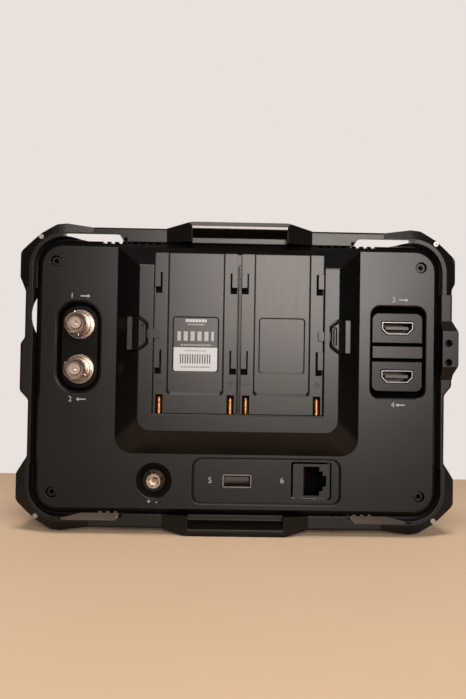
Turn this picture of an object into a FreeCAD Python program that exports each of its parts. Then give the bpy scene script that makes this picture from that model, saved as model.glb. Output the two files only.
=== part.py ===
import FreeCAD
import Part
import math
import os

# A seven inch camera field monitor that stands on its guard, with the screen to +Y and the battery side
# to -Y. Lengths are millimetres. X runs to the right as seen from the battery side. Pieces are drawn about
# the monitor's middle height and lifted on to the table when they are written.

# Overall size, cuts and clearances
overall_width = 204.6
overall_height = 144.6
overall_depth = 42.5
overrun = 2.0
seat_gap = 0.2
run_gap = 0.3
pin_gap = 0.05
round_limit_share = 0.45

# Body shells
guard_side = 8.6
guard_end = 9.3
body_corner = 12.0
wall = 2.0
face_inset_x = 3.4
face_inset_z = 3.3
face_corner = 9.3
face_bevel_depth = 6.0
hump_depth_share = 0.2706
bezel_setback = 1.0
bezel_depth_share = 0.2647
tongue_depth = 2.0

# Guard outline
guard_round = 3.0
guard_chamfer = 0.8
mount_half = 22.0
mount_ramp = 12.0
bar_drop = 2.6
bump_length = 34.3
bump_flat = 21.3
bump_edge = 16.7
bump_drop = 0.7
bump_fall = 0.5
facet_in = 9.5
facet_down = 5.7
shoulder_in = 1.2
shoulder_down = 13.1
side_down = 14.8
left_notch = 3.1
left_step = 1.2
lower_notch = 5.2
right_notch = 1.8
left_side_shares = ((0, 0.636), (left_notch, 0.546), (left_notch, 0.243), (left_step, 0.207),
                    (left_step, -0.097), (lower_notch, -0.155), (lower_notch, -0.519), (0, -0.629))
right_side_shares = ((0, 0.643), (right_notch, 0.6), (right_notch, 0.391), (0, 0.317), (0, 0.109),
                     (right_notch, 0.048), (right_notch, -0.029), (lower_notch, -0.086),
                     (lower_notch, -0.528), (0, -0.632))

# Guard bevels, slots, mounting blocks and holes
guard_bevel = 1.6
guard_bevel_depth = 2.5
corner_relief = 2.0
corner_relief_depth_share = 0.32
corner_zone_in = 49.8
corner_zone_down = 31.3
corner_rim = 4.0
corner_fall = 4.6
corner_fall_depth = 2.5
slot_height = 3.4
slot_slant = 3.3
slot_end_height = 0.9
slot_taper = 18.0
slot_end_in = 20.0
slot_depth_share = 0.48
slot_flare_share = 0.035
slit_low_share = 0.2766
slit_high_share = 0.4979
slit_bulge = 2.0
slit_depth_share = 0.32
slit_flare = 2.0
slit_stretch = 3.0
mount_lip = 3.3
mount_lip_chamfer = 1.0
mount_bead_height = 1.2
mount_rim = 2.6
insert_r = 4.6
insert_length = 8.0
insert_thread_r = 2.55
clamp_proud = 4.5
clamp_gap = 1.2
clamp_low_share = 0.099
clamp_high_share = 0.33
clamp_low_slope = 6.0
clamp_high_slope = 4.7
clamp_hole_r = 1.65
clamp_hole_depth = 8.0
clamp_pitch = 8.9
clamp_inset = 4.5
clamp_z = 13.6
corner_screw_r = 1.15
corner_screw_length = 6.0
corner_screw_sink = 0.3
corner_screw_socket_r = 0.55
corner_screw_socket_depth = 0.8
corner_screw_in = 9.8
corner_screw_down = 7.4

# Screen stack
bezel_rim_x = 4.7
bezel_rim_z = 5.0
glass_corner = 8.0
glass_thick = 1.1
adhesive_thick = 0.2
adhesive_width = 5.0
ledge_thick = 1.6
lcd_border_x = 9.55
lcd_border_z = 6.3
lcd_thick = 2.2
backlight_thick = 3.0
tray_thick = 0.5
tray_lip = 2.8
lcd_gap = 1.4

# Chassis, boards and what they carry
chassis_thick = 1.5
chassis_margin = 2.2
lug_length = 6.5
lug_height = 8.0
lug_depth = 2.6
lug_z = 22.0
chassis_screw_r = 1.2
chassis_head_r = 2.3
chassis_head_thick = 1.2
board_rise_share = 0.106
board_thick = 1.6
board_margin_x = 11.7
board_margin_low = 5.0
board_margin_high = 13.0
standoff_r = 2.7
standoff_inset = 6.0
board_screw_r = 1.25
board_head_r = 2.4
board_head_thick = 1.5
processor_side = 22.0
processor_thick = 2.0
processor_x = -14.0
processor_z = 12.0
pad_thick = 0.8
spreader_width = 62.0
spreader_height = 44.0
spreader_thick = 1.6
fin_count = 9
fin_thick = 1.2
fin_rise_share = 0.1765
memory_width = 12.0
memory_height = 9.0
memory_thick = 1.1
memory_x = 34.0
memory_pitch = 13.0
capacitor_r = 3.1
capacitor_rise_share = 0.515
capacitor_pitch = 8.0
capacitor_count = 3
capacitor_inset = 22.0
capacitor_z = -24.0
ribbon_width = 20.0
ribbon_thick = 0.2
ribbon_inset = 14.0
ribbon_leg = 7.0

# Rear cover details
cover_screw_in_x = 9.5
cover_screw_in_z = 10.2
cover_post_r = 4.0
cover_bore_r = 2.5
cover_bore_depth = 3.5
cover_head_r = 2.1
cover_head_thick = 1.9
cover_shank_r = 1.45
cover_grip = 3.6
cover_socket_r = 1.1
boss_depth = 4.2
vent_count = 8
vent_pitch = 3.5
vent_width = 1.9
vent_setback = 3.75
vent_lead = 14.5
hump_width_share = 0.5955
hump_side_run = 10.9
hump_low_run = 11.0
hump_high_run = 9.5
hump_over_port = 2.45
hump_under_edge = 3.3
hump_corner = 5.6
hump_base_corner = 8.0
hump_edge = 0.3
hump_wall = 2.8
rim_chamfer = 0.6
rim_chamfer_depth = 0.35

# Battery plates and contacts
plate_side = 8.15
plate_space = 2.0
plate_gap = 0.55
plate_rise = 8.1
plate_past = 6.0
plate_recess = 2.4
plate_thick = 3.0
bay_floor = 1.8
bay_chamfer = 0.9
bay_chamfer_depth = 0.5
rib_width = 0.6
rib_drop = 0.4
rib_short = 5.2
panel_edge = 6.25
panel_rise = 9.4
panel_sink = 0.75
panel_slope = 1.3
panel_corner = 1.6
groove_width = 0.6
groove_depth = 1.6
label_width_share = 0.8156
label_height_share = 0.3357
label_below = 5.05
label_recess = 0.3
label_corner = 1.0
label_edge = 0.5
label_thick = 0.15
hook_width = 2.4
hook_gap = 0.7
hook_thick = 0.9
hook_drop = 0.5
hook_stem = 1.0
hook_hole = 2.6
hook_hole_depth = 2.2
upper_hook_down_share = 0.2145
upper_hook_length_share = 0.0919
lower_hook_up_share = 0.2813
lower_hook_length_share = 0.1128
mark_size = 2.6
mark_width = 0.6
mark_depth = 0.4
mark_up = 13.2
contact_edge = 2.45
contact_r = 1.1
contact_length = 7.4
contact_proud = 0.5
contact_slot_width = 3.2
contact_slot_length = 8.3
contact_slot_depth = 2.2
tail_r = 0.6
tail_rise = 1.6
tail_gap = 0.2
contact_board_in = 1.45
contact_board_low = 3.5
contact_board_high = 7.5
plate_screw_x = 8.0
plate_screw_up = 15.6
plate_screw_down = 14.2
plate_screw_r = 1.0
plate_screw_head_r = 2.2
plate_screw_head_thick = 1.5
plate_screw_bite = 1.6

# Release latches, with places along X measured outwards from the edge of the hump's flat top
latch_below = 0.6
latch_inner = -3.9
latch_inner_half = 4.5
latch_half = 7.4
latch_round = 1.6
latch_thick = 6.6
latch_travel = 2.2
latch_gap = 0.5
latch_edge = 0.7
latch_edge_depth = 0.4
lip_inner = 2.85
lip_outer = 4.95
lip_half = 7.2
lip_depth = 0.6
flap_root = 1.5
flap_gap = 0.3
flap_depth = 1.3
grip_place = -1.95
grip_width = 1.75
grip_length = 8.4
grip_depth = 3.0
grip_rib = 0.5
base_inner = -6.7
base_outer = 0.6
base_half = 9.8
base_thick = 1.5
catch_reach = -9.3
catch_half = 2.0
catch_top = 1.0
catch_thick = 1.2
foot_inner = -3.4
foot_outer = -0.4
foot_half = 2.5
foot_depth = 14.0
stop_inner = 5.7
stop_thick = 1.8
stop_half = 3.0
stop_depth = 14.4
stop_root = 8.0
spring_r = 1.4
spring_wire_r = 0.22
spring_turns = 5
spring_depth = 12.2
retainer_inner = -7.1
retainer_outer = 1.7
retainer_half = 15.2
retainer_thick = 1.2
retainer_post_r = 2.0
retainer_post = -2.9
retainer_post_z = 12.7
retainer_screw_r = 0.8
retainer_head_r = 1.6
retainer_head_thick = 1.0
retainer_screw_bite = 3.0

# Power button and its switch
button_setback_share = 0.4
button_height_share = -0.3347
button_width = 5.0
button_length = 10.0
button_travel = 0.6
button_flange = 1.0
button_flange_thick = 1.0
button_stem_r = 1.5
switch_size = 6.0
switch_depth = 4.0
switch_plunger_r = 1.3
switch_plunger = 0.8

# Coaxial sockets
coax_in = 20.5
coax_z = 13.7
coax_pitch_share = 0.1643
coax_recess_width = 19.9
coax_recess_end = 10.4
coax_recess_depth = 4.6
coax_recess_slope = 1.8
coax_flange_r = 7.0
coax_flange_thick = 1.4
coax_collar_r = 5.6
coax_collar = 3.2
coax_barrel_r = 4.85
coax_rim = 0.3
coax_length = 15.4
coax_bore_r = 4.05
coax_bore_depth = 8.4
coax_lug_r = 1.0
coax_lug_reach = 5.6
coax_lug_setback = 4.6
upper_lug_turn = 100
lower_lug_turn = -30
coax_thread_r = 4.6
coax_boss_r = 2.45
coax_boss_setback = 1.8
coax_seat_thick = 2.4
coax_contact_r = 1.15
coax_contact_bore_r = 0.7
coax_contact_setback = 2.4
coax_nut_r = 7.4
coax_nut_thick = 2.2

# Video sockets
video_in = 19.9
video_z = 13.5
video_pitch_share = 0.1778
video_recess_width = 25.0
video_recess_end = 9.95
video_recess_corner = 4.2
video_frame = 1.5
video_depth = 7.5
video_plate_thick = 1.6
island_width = 23.2
island_height = 13.6
island_corner = 3.0
island_depth = 2.0
island_slope = 0.35
bridge_height = 5.4
bridge_depth = 1.3
video_width = 14.4
video_height = 5.6
video_foot_width = 9.6
video_side_height = 3.2
video_shell = 0.35
video_gap = 0.4
video_proud = 0.3
video_round = 0.6
tongue_width = 10.6
tongue_thick = 1.3
tongue_setback = 1.2
video_back = 2.0

# Port panel with the data socket and the network jack
port_x = 14.0
port_up = 16.2
port_width = 66.4
port_height = 19.3
port_corner = 3.5
port_thick = 1.6
port_sunk = 0.15
port_groove = 0.5
port_frame = 3.0
port_pad = 4.0
data_x = 0.4
data_up = 0.1
data_width = 13.1
data_height = 5.9
data_shell = 0.4
data_round = 0.5
data_proud = 0.2
data_tongue_width = 10.8
data_tongue_thick = 1.9
data_tongue_up = 0.9
data_tongue_setback = 0.9
data_back = 2.0
jack_x = 34.5
jack_up = 0.6
jack_width = 16.8
jack_height = 15.6
jack_corner = 0.8
jack_proud = 0.5
jack_gap = 0.8
jack_mouth_width = 7.3
jack_mouth_height = 13.2
jack_mouth_x = 0.0
jack_key_width = 1.6
jack_key_height = 9.0
jack_latch_width = 1.6
jack_latch_height = 5.0
jack_back_share = 0.327
jack_pin_count = 8
jack_pin_pitch = 1.02
jack_pin_width = 0.45
jack_pin_thick = 0.3
jack_pin_lift = 1.6
jack_pin_setback = 4.5

# Power inlet
inlet_place_share = -0.4013
inlet_down = 0.2
inlet_recess_r = 8.2
inlet_floor_r = 5.0
inlet_recess_depth = 2.2
inlet_boss_r = 9.4
inlet_boss = 5.0
inlet_barrel_r = 3.4
inlet_rim = 0.25
inlet_bore_r = 2.7
inlet_bore_depth = 9.5
inlet_stand = 4.6
inlet_flange_r = 5.2
inlet_flange = 1.6
inlet_nut_r = 4.6
inlet_nut_thick = 2.0
inlet_nut_edge = 0.7
inlet_nut_sink = 0.5
inlet_pin_r = 1.0
inlet_pin_setback = 1.2
inlet_back_r = 4.4

# Planes and half sizes that follow from the values above
half_width = overall_width / 2
half_height = overall_height / 2
front_y = overall_depth / 2
rear_y = -overall_depth / 2
hump_height = hump_depth_share * overall_depth
face_y = rear_y + hump_height
bevel_y = face_y + face_bevel_depth
guard_rear_y = bevel_y
guard_depth = front_y - guard_rear_y
mount_proud = guard_rear_y - face_y
bezel_y = front_y - bezel_setback
bezel_depth = bezel_depth_share * overall_depth
bezel_rear_y = bezel_y - bezel_depth
cover_front_y = bezel_rear_y - tongue_depth
body_width = overall_width - 2 * guard_side
body_height = overall_height - 2 * guard_end
body_half_x = body_width / 2
body_half_z = body_height / 2
face_width = body_width - 2 * face_inset_x
face_height = body_height - 2 * face_inset_z
inner_half_x = body_half_x - wall
inner_half_z = body_half_z - wall
glass_width = body_width - 2 * bezel_rim_x
glass_height = body_height - 2 * bezel_rim_z
lcd_width = glass_width - 2 * lcd_border_x
lcd_height = glass_height - 2 * lcd_border_z
glass_rear_y = bezel_y - glass_thick
ledge_y = glass_rear_y - adhesive_thick
ledge_rear_y = ledge_y - ledge_thick
lcd_rear_y = glass_rear_y - lcd_thick
backlight_rear_y = lcd_rear_y - backlight_thick
tray_rear_y = backlight_rear_y - tray_thick
chassis_rear_y = tray_rear_y - chassis_thick
board_y = chassis_rear_y - board_rise_share * overall_depth
board_rear_y = board_y - board_thick
board_room = board_rear_y - face_y - wall
board_half_x = inner_half_x - board_margin_x
board_low_z = board_margin_low - inner_half_z
board_high_z = inner_half_z - board_margin_high
standoff_x = board_half_x - standoff_inset
standoff_z = board_high_z - standoff_inset
fin_rise = fin_rise_share * board_room
capacitor_rise = capacitor_rise_share * board_room
capacitor_x = capacitor_inset - board_half_x
ribbon_x = ribbon_inset - board_half_x
cover_screw_x = body_half_x - cover_screw_in_x
cover_screw_z = body_half_z - cover_screw_in_z
bump_start = half_width - bump_length
bump_inner = half_width - bump_flat
bump_outer = half_width - bump_edge
corner_zone_x = half_width - corner_zone_in
corner_zone_z = half_height - corner_zone_down
corner_relief_depth = corner_relief_depth_share * guard_depth
slot_outer_x = half_width - slot_end_in
slot_depth = slot_depth_share * guard_depth
slit_low_z = slit_low_share * half_height
slit_high_z = slit_high_share * half_height
slit_depth = slit_depth_share * guard_depth
vent_first_x = corner_zone_x - vent_lead
port_z = port_up - body_half_z
data_z = port_z + data_up
jack_z = port_z + jack_up
jack_bottom_y = board_rear_y - jack_back_share * board_room
inlet_x = inlet_place_share * body_half_x
inlet_z = port_z - inlet_down
hump_base_half = hump_width_share * body_half_x
hump_top_half = hump_base_half - hump_side_run
hump_base_low_z = port_z + port_height / 2 + hump_over_port
hump_low_z = hump_base_low_z + hump_low_run
hump_base_high_z = body_half_z - hump_under_edge
hump_high_z = hump_base_high_z - hump_high_run
plate_width = hump_top_half - plate_side
plate_pitch = plate_width + plate_space
plate_low_z = hump_low_z + plate_rise
plate_high_z = hump_high_z + plate_past
plate_middle_z = (plate_low_z + plate_high_z) / 2
rib_high_z = plate_high_z - rib_short
panel_width = plate_width - 2 * panel_edge
panel_low_z = plate_low_z + panel_rise
label_width = label_width_share * panel_width
plate_length = plate_high_z - plate_low_z
label_height = label_height_share * plate_length
label_z = plate_middle_z - label_below
upper_hook_low_z = plate_high_z - upper_hook_down_share * plate_length
upper_hook_length = upper_hook_length_share * plate_length
lower_hook_low_z = plate_low_z + lower_hook_up_share * plate_length
lower_hook_length = lower_hook_length_share * plate_length
mark_z = plate_low_z + mark_up
contact_x = plate_width / 2 - contact_edge
contact_high_z = plate_low_z + contact_length
contact_slot_high_z = plate_low_z + contact_slot_length
plate_screw_low_z = plate_low_z + plate_screw_up
plate_screw_high_z = plate_high_z - plate_screw_down
latch_z = plate_middle_z - latch_below
latch_inner_x = hump_top_half + latch_inner
lip_inner_x = hump_top_half + lip_inner
lip_outer_x = hump_top_half + lip_outer
flap_root_x = hump_top_half + flap_root
grip_x = hump_top_half + grip_place
base_inner_x = hump_top_half + base_inner
base_outer_x = hump_top_half + base_outer
catch_reach_x = hump_top_half + catch_reach
foot_inner_x = hump_top_half + foot_inner
foot_outer_x = hump_top_half + foot_outer
stop_inner_x = hump_top_half + stop_inner
retainer_inner_x = hump_top_half + retainer_inner
retainer_outer_x = hump_top_half + retainer_outer
retainer_post_x = hump_top_half + retainer_post
bay_half = plate_pitch / 2 + plate_width / 2 + plate_gap
bay_y = rear_y + plate_recess + plate_thick
under_bay_y = bay_y + bay_floor
contact_board_half_x = bay_half - contact_board_in
mount_rim_z = body_half_z + mount_rim
plate_y = rear_y + plate_recess
panel_y = plate_y + panel_sink
button_face_x = half_width - lower_notch
button_y = cover_front_y - button_setback_share * (cover_front_y - bevel_y)
button_z = button_height_share * half_height
switch_front_x = board_half_x
coax_x = coax_in - body_half_x
coax_pitch = coax_pitch_share * body_height
coax_recess_height = coax_pitch + 2 * coax_recess_end
video_x = body_half_x - video_in
video_pitch = video_pitch_share * body_height
video_recess_height = video_pitch + 2 * video_recess_end
coax_floor_y = face_y + coax_recess_depth
coax_tip_y = coax_floor_y - coax_length
video_plate_y = face_y + video_depth
inlet_floor_y = face_y + inlet_recess_depth
inlet_tip_y = inlet_floor_y - inlet_stand


# Drawing helpers

def vec(x, y, z):
    return FreeCAD.Vector(x, y, z)


def rounded(points, radius):
    """Closed wire through the vectors, each corner rounded to the radius, or to its own one in a list."""
    edges = []
    ends = []
    count = len(points)
    radii = radius if isinstance(radius, list) else [radius] * count
    for i, corner in enumerate(points):
        before = points[i - 1] - corner
        after = points[(i + 1) % count] - corner
        half_turn = (math.pi - before.getAngle(after)) / 2
        room = round_limit_share * min(before.Length, after.Length)
        reach = min(radii[i] * math.tan(half_turn), room)
        start = corner + before.normalize() * reach
        end = corner + after.normalize() * reach
        ends.append((start, end))
        if reach > pin_gap:
            inward = ((start + end) / 2 - corner).normalize()
            drop = reach / math.tan(half_turn) * (1 / math.cos(half_turn) - 1)
            edges.append(Part.Arc(start, corner + inward * drop, end).toShape())
        else:
            ends[-1] = (corner, corner)
    lines = []
    for i in range(count):
        start = ends[i][1]
        end = ends[(i + 1) % count][0]
        lines.append(Part.LineSegment(start, end).toShape())
    return Part.Wire(Part.__sortEdges__(edges + lines))


def polygon(points):
    return Part.makePolygon(list(points) + [points[0]])


def flat_outline(points, y, radius):
    return rounded([vec(x, y, z) for x, z in points], radius)


def prism(points, radius, y0, y1):
    """Solid of an outline in X and Z, from y0 to y1."""
    return Part.Face(flat_outline(points, y0, radius)).extrude(vec(0, y1 - y0, 0))


def rect_points(x, z, width, height):
    left = x - width / 2
    right = x + width / 2
    low = z - height / 2
    high = z + height / 2
    return [(left, low), (right, low), (right, high), (left, high)]


def rect_prism(x, z, width, height, radius, y0, y1):
    return prism(rect_points(x, z, width, height), radius, y0, y1)


def taper(first, first_radius, y0, second, second_radius, y1):
    """Solid between two outlines in X and Z, one at y0 and one at y1."""
    wires = [flat_outline(first, y0, first_radius), flat_outline(second, y1, second_radius)]
    return Part.makeLoft(wires, True, True)


def rod(x, z, radius, y0, y1):
    return Part.makeCylinder(radius, abs(y1 - y0), vec(x, min(y0, y1), z), vec(0, 1, 0))


def cone(x, z, r0, y0, r1, y1):
    return Part.makeCone(r0, r1, y1 - y0, vec(x, y0, z), vec(0, 1, 0))


def hex_prism(x, z, radius, y0, y1):
    points = []
    for i in range(6):
        angle = math.pi / 3 * i
        points.append(vec(x + radius * math.cos(angle), y0, z + radius * math.sin(angle)))
    return Part.Face(polygon(points)).extrude(vec(0, y1 - y0, 0))


def block(x0, x1, y0, y1, z0, z1):
    low = vec(min(x0, x1), min(y0, y1), min(z0, z1))
    return Part.makeBox(abs(x1 - x0), abs(y1 - y0), abs(z1 - z0), low)


def fused(shapes):
    return shapes[0].multiFuse(shapes[1:]).removeSplitter()


def flipped_x(shape):
    return shape.mirror(vec(0, 0, 0), vec(1, 0, 0))


def flipped_z(shape):
    return shape.mirror(vec(0, 0, 0), vec(0, 0, 1))


def sided(shape, side):
    """The shape as drawn on the right, or its mirror image on the left."""
    return shape if side > 0 else flipped_x(shape)


def corners(x, z):
    return [(sx * x, sz * z) for sx in (-1, 1) for sz in (-1, 1)]


# Guard frame and what is fixed in it

def guard_corner():
    """Top right corner of the guard's outline, from the mounting block to the side."""
    return [(mount_half, half_height),
            (mount_half + mount_ramp, half_height - bar_drop),
            (bump_start, half_height - bar_drop),
            (bump_inner, half_height - bump_drop),
            (bump_outer, half_height - bump_drop - bump_fall),
            (half_width - facet_in, half_height - facet_down),
            (half_width - shoulder_in, half_height - shoulder_down),
            (half_width, half_height - side_down)]


def guard_outline():
    corner = guard_corner()
    right = [(half_width - inset, share * half_height) for inset, share in right_side_shares]
    left = [(inset - half_width, share * half_height) for inset, share in left_side_shares]
    low_right = [(x, -z) for x, z in reversed(corner)]
    low_left = [(-x, -z) for x, z in corner]
    top_left = [(-x, z) for x, z in reversed(corner)]
    return corner + right + low_right + low_left + list(reversed(left)) + top_left


def chamfered_guard_block():
    solid = prism(guard_outline(), guard_round, guard_rear_y, front_y)
    rims = []
    for edge in solid.Edges:
        depths = [vertex.Point.y for vertex in edge.Vertexes]
        if max(depths) - min(depths) < pin_gap:
            rims.append(edge)
    return solid.makeChamfer(guard_chamfer, rims)


def slice_along_x(points, half):
    """Solid with the given Y and Z section, from -half to half along X."""
    return Part.Face(polygon([vec(-half, y, z) for y, z in points])).extrude(vec(2 * half, 0, 0))


def mount_bar():
    """Lip of the top mounting block, which stands proud, with ramped ends, a flat bead and a slope below it."""
    end_x = mount_half + mount_ramp
    lip_y = guard_rear_y - mount_proud
    inside_y = guard_rear_y + overrun
    low = body_half_z
    plan = [vec(-end_x, inside_y, low), vec(-end_x, guard_rear_y, low), vec(-mount_half, lip_y, low),
            vec(mount_half, lip_y, low), vec(end_x, guard_rear_y, low), vec(end_x, inside_y, low)]
    bar = Part.Face(polygon(plan)).extrude(vec(0, 0, overall_height))
    bar = bar.common(prism(guard_outline(), guard_round, lip_y, inside_y))
    behind = lip_y - overrun
    lip_z = half_height - mount_lip
    bead_z = lip_z + mount_bead_height
    under = slice_along_x([(guard_rear_y, low), (guard_rear_y, mount_rim_z), (lip_y, lip_z), (behind, lip_z),
                           (behind, low)], mount_half)
    above = slice_along_x([(lip_y, bead_z), (lip_y + mount_lip_chamfer, half_height),
                           (lip_y + mount_lip_chamfer, half_height + overrun), (behind, half_height + overrun),
                           (behind, bead_z)], end_x)
    return bar.cut(fused([under, above]))


def side_bevels():
    """Bevels along the inner edges of the guard's two sides, between the corners."""
    end_y = guard_rear_y + guard_bevel_depth
    wide = guard_bevel + seat_gap
    bevel = taper(rect_points(0, 0, body_width + 2 * wide, body_height + 2 * wide), body_corner + wide,
                  guard_rear_y, rect_points(0, 0, body_width + 2 * seat_gap, body_height + 2 * seat_gap),
                  body_corner + seat_gap, end_y)
    return bevel.common(block(-half_width, half_width, guard_rear_y, end_y, -corner_zone_z, corner_zone_z))


def corner_zones(x, y0, y1):
    """Blocks over the four corners of the guard, from x outwards."""
    zones = []
    for sx, sz in corners(1, 1):
        zones.append(block(sx * x, sx * (half_width + overrun), y0, y1,
                           sz * corner_zone_z, sz * (half_height + overrun)))
    return fused(zones)


def corner_falls():
    """Cuts that let the corner bumpers fall away outside the rim round the body."""
    end_y = guard_rear_y + corner_fall_depth
    wide = corner_rim + corner_fall
    kept = taper(rect_points(0, 0, body_width + 2 * corner_rim, body_height + 2 * corner_rim),
                 body_corner + corner_rim, guard_rear_y,
                 rect_points(0, 0, body_width + 2 * wide, body_height + 2 * wide), body_corner + wide, end_y)
    return corner_zones(bump_start, guard_rear_y, end_y).cut(kept)


def corner_slot():
    """Slot between bar and body at the top right corner, flared to the front, with the bar cut short."""
    low = body_half_z
    high = low + slot_height
    points = [(corner_zone_x, low), (corner_zone_x + slot_slant, high), (slot_outer_x, high),
              (slot_outer_x, high - slot_end_height), (slot_outer_x - slot_taper, low)]
    flare = 1 + slot_flare_share
    wide = [(x * flare, z * flare if z > low else low) for x, z in points]
    end_y = guard_rear_y + slot_depth
    slot = Part.makeLoft([flat_outline(points, guard_rear_y, slot_end_height / 2),
                          flat_outline(wide, end_y, slot_end_height / 2)], True, True)
    short = block(corner_zone_x + slot_slant, slot_outer_x * flare, end_y, front_y + overrun, low,
                  half_height + overrun)
    return slot.fuse(short)


def lens_wire(bulge, stretch, y):
    wall_x = -body_half_x
    low = vec(wall_x, y, slit_low_z - stretch)
    high = vec(wall_x, y, slit_high_z + stretch)
    middle = vec(wall_x - seat_gap - bulge, y, (slit_low_z + slit_high_z) / 2)
    return Part.Wire([Part.Arc(low, middle, high).toShape(), Part.LineSegment(high, low).toShape()])


def side_slit():
    """Lens shaped slit between the guard's left side and the body, with the side cut short in front of it."""
    end_y = guard_rear_y + slit_depth
    slit = Part.makeLoft([lens_wire(slit_bulge, 0, guard_rear_y),
                          lens_wire(slit_bulge + slit_flare, slit_stretch, end_y)], True, True)
    short = block(-half_width - overrun, -body_half_x, end_y, front_y + overrun, slit_low_z - slit_stretch,
                  slit_high_z + slit_stretch)
    return slit.fuse(short)


def clamp_block():
    """Block on the guard's right side that stands proud, with sloping ends."""
    top_y = guard_rear_y - clamp_proud
    inside_y = guard_rear_y + overrun
    low = clamp_low_share * half_height
    high = clamp_high_share * half_height
    section = [(inside_y, low - clamp_low_slope), (guard_rear_y, low - clamp_low_slope), (top_y, low),
               (top_y, high), (guard_rear_y, high + clamp_high_slope), (inside_y, high + clamp_high_slope)]
    bar = slice_along_x(section, half_width + overrun)
    bar = bar.cut(block(-half_width - overrun, body_half_x + clamp_gap, rear_y, front_y, -half_height,
                        half_height))
    return bar.common(prism(guard_outline(), guard_round, top_y, inside_y))


def clamp_holes():
    holes = []
    x = half_width - clamp_inset
    top_y = guard_rear_y - clamp_proud
    for z in (clamp_z - clamp_pitch / 2, clamp_z + clamp_pitch / 2):
        holes.append(rod(x, z, clamp_hole_r, top_y - overrun, top_y + clamp_hole_depth))
    return holes


def guard_frame():
    opening = rect_prism(0, 0, body_width + 2 * seat_gap, body_height + 2 * seat_gap,
                         body_corner + seat_gap, guard_rear_y - overrun, front_y + overrun)
    bar = mount_bar()
    frame = fused([chamfered_guard_block(), bar, flipped_z(bar), clamp_block()])
    frame = frame.cut(opening)
    tongue = rect_prism(0, 0, body_width + 2 * wall, body_height + 2 * wall, body_corner + wall,
                        cover_front_y, bezel_rear_y)
    tongue = tongue.cut(rect_prism(0, 0, 2 * inner_half_x, 2 * inner_half_z, body_corner - wall,
                                   cover_front_y - overrun, bezel_rear_y + overrun))
    frame = frame.fuse(tongue)
    relief_end = guard_rear_y + corner_relief_depth
    relief = rect_prism(0, 0, body_width + 2 * corner_relief, body_height + 2 * corner_relief,
                        body_corner + corner_relief, guard_rear_y, relief_end)
    relief = relief.common(corner_zones(corner_zone_x, guard_rear_y, relief_end))
    slot = corner_slot()
    slots = [slot, flipped_x(slot), flipped_z(slot), flipped_z(flipped_x(slot))]
    insert_y = guard_rear_y + guard_depth / 2
    insert_hole = Part.makeCylinder(insert_r + pin_gap, insert_length + overrun,
                                    vec(0, insert_y, half_height - insert_length), vec(0, 0, 1))
    screw_holes = []
    for x, z in corners(half_width - corner_screw_in, half_height - corner_screw_down):
        screw_holes.append(rod(x, z, corner_screw_r + pin_gap, guard_rear_y - overrun,
                               guard_rear_y + corner_screw_sink + corner_screw_length))
    button = button_path(run_gap, half_width + overrun, body_half_x - overrun)
    cuts = [side_bevels(), relief, corner_falls(), side_slit(), insert_hole, flipped_z(insert_hole), button]
    for cut in cuts + slots + screw_holes + clamp_holes():
        frame = frame.cut(cut)
    return frame.removeSplitter()


def corner_screws():
    screws = []
    top_y = guard_rear_y + corner_screw_sink
    for x, z in corners(half_width - corner_screw_in, half_height - corner_screw_down):
        screw = rod(x, z, corner_screw_r, top_y, top_y + corner_screw_length)
        socket = hex_prism(x, z, corner_screw_socket_r, top_y, top_y + corner_screw_socket_depth)
        screws.append(screw.cut(socket))
    return Part.makeCompound(screws)


def mount_insert():
    low = half_height - insert_length
    y = guard_rear_y + guard_depth / 2
    body = Part.makeCylinder(insert_r, insert_length, vec(0, y, low), vec(0, 0, 1))
    return body.cut(Part.makeCylinder(insert_thread_r, insert_length, vec(0, y, low), vec(0, 0, 1)))


# Screen side

def front_bezel():
    shell = rect_prism(0, 0, body_width, body_height, body_corner, bezel_rear_y, bezel_y)
    pocket = rect_prism(0, 0, glass_width + 2 * seat_gap, glass_height + 2 * seat_gap,
                        glass_corner + seat_gap, ledge_y, bezel_y + overrun)
    window = rect_prism(0, 0, lcd_width + 2 * lcd_gap, lcd_height + 2 * lcd_gap, lcd_gap,
                        bezel_rear_y - overrun, bezel_y)
    cavity = rect_prism(0, 0, 2 * inner_half_x, 2 * inner_half_z, body_corner - wall,
                        bezel_rear_y - overrun, ledge_rear_y)
    kept = []
    for sx, sz in corners(1, 1):
        x = cover_screw_x - cover_post_r
        z = cover_screw_z - cover_post_r
        kept.append(block(sx * x, sx * body_half_x, bezel_rear_y, bezel_rear_y + boss_depth,
                          sz * z, sz * body_half_z))
    for x, z in corners(inner_half_x, lug_z):
        reach = x - math.copysign(lug_length, x)
        kept.append(block(reach, x + math.copysign(wall / 2, x), tray_rear_y, tray_rear_y + lug_depth,
                          z - lug_height / 2, z + lug_height / 2))
    shell = shell.cut(fused([pocket, window, cavity.cut(fused(kept))]))
    holes = []
    for x, z in corners(cover_screw_x, cover_screw_z):
        holes.append(rod(x, z, cover_shank_r + pin_gap, bezel_rear_y - overrun, bezel_rear_y + cover_grip))
    for x, z in corners(inner_half_x - lug_length / 2, lug_z):
        holes.append(rod(x, z, chassis_screw_r + pin_gap, tray_rear_y - overrun, tray_rear_y + lug_depth))
    return shell.cut(fused(holes)).removeSplitter()


def cover_glass():
    return rect_prism(0, 0, glass_width, glass_height, glass_corner, glass_rear_y, bezel_y)


def glass_adhesive():
    ring = rect_prism(0, 0, glass_width, glass_height, glass_corner, ledge_y, glass_rear_y)
    inner = rect_prism(0, 0, glass_width - 2 * adhesive_width, glass_height - 2 * adhesive_width,
                       glass_corner, ledge_y - overrun, glass_rear_y + overrun)
    return ring.cut(inner)


def lcd_panel():
    return rect_prism(0, 0, lcd_width, lcd_height, 0, lcd_rear_y, glass_rear_y)


def backlight_unit():
    return rect_prism(0, 0, lcd_width, lcd_height, 0, backlight_rear_y, lcd_rear_y)


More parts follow.
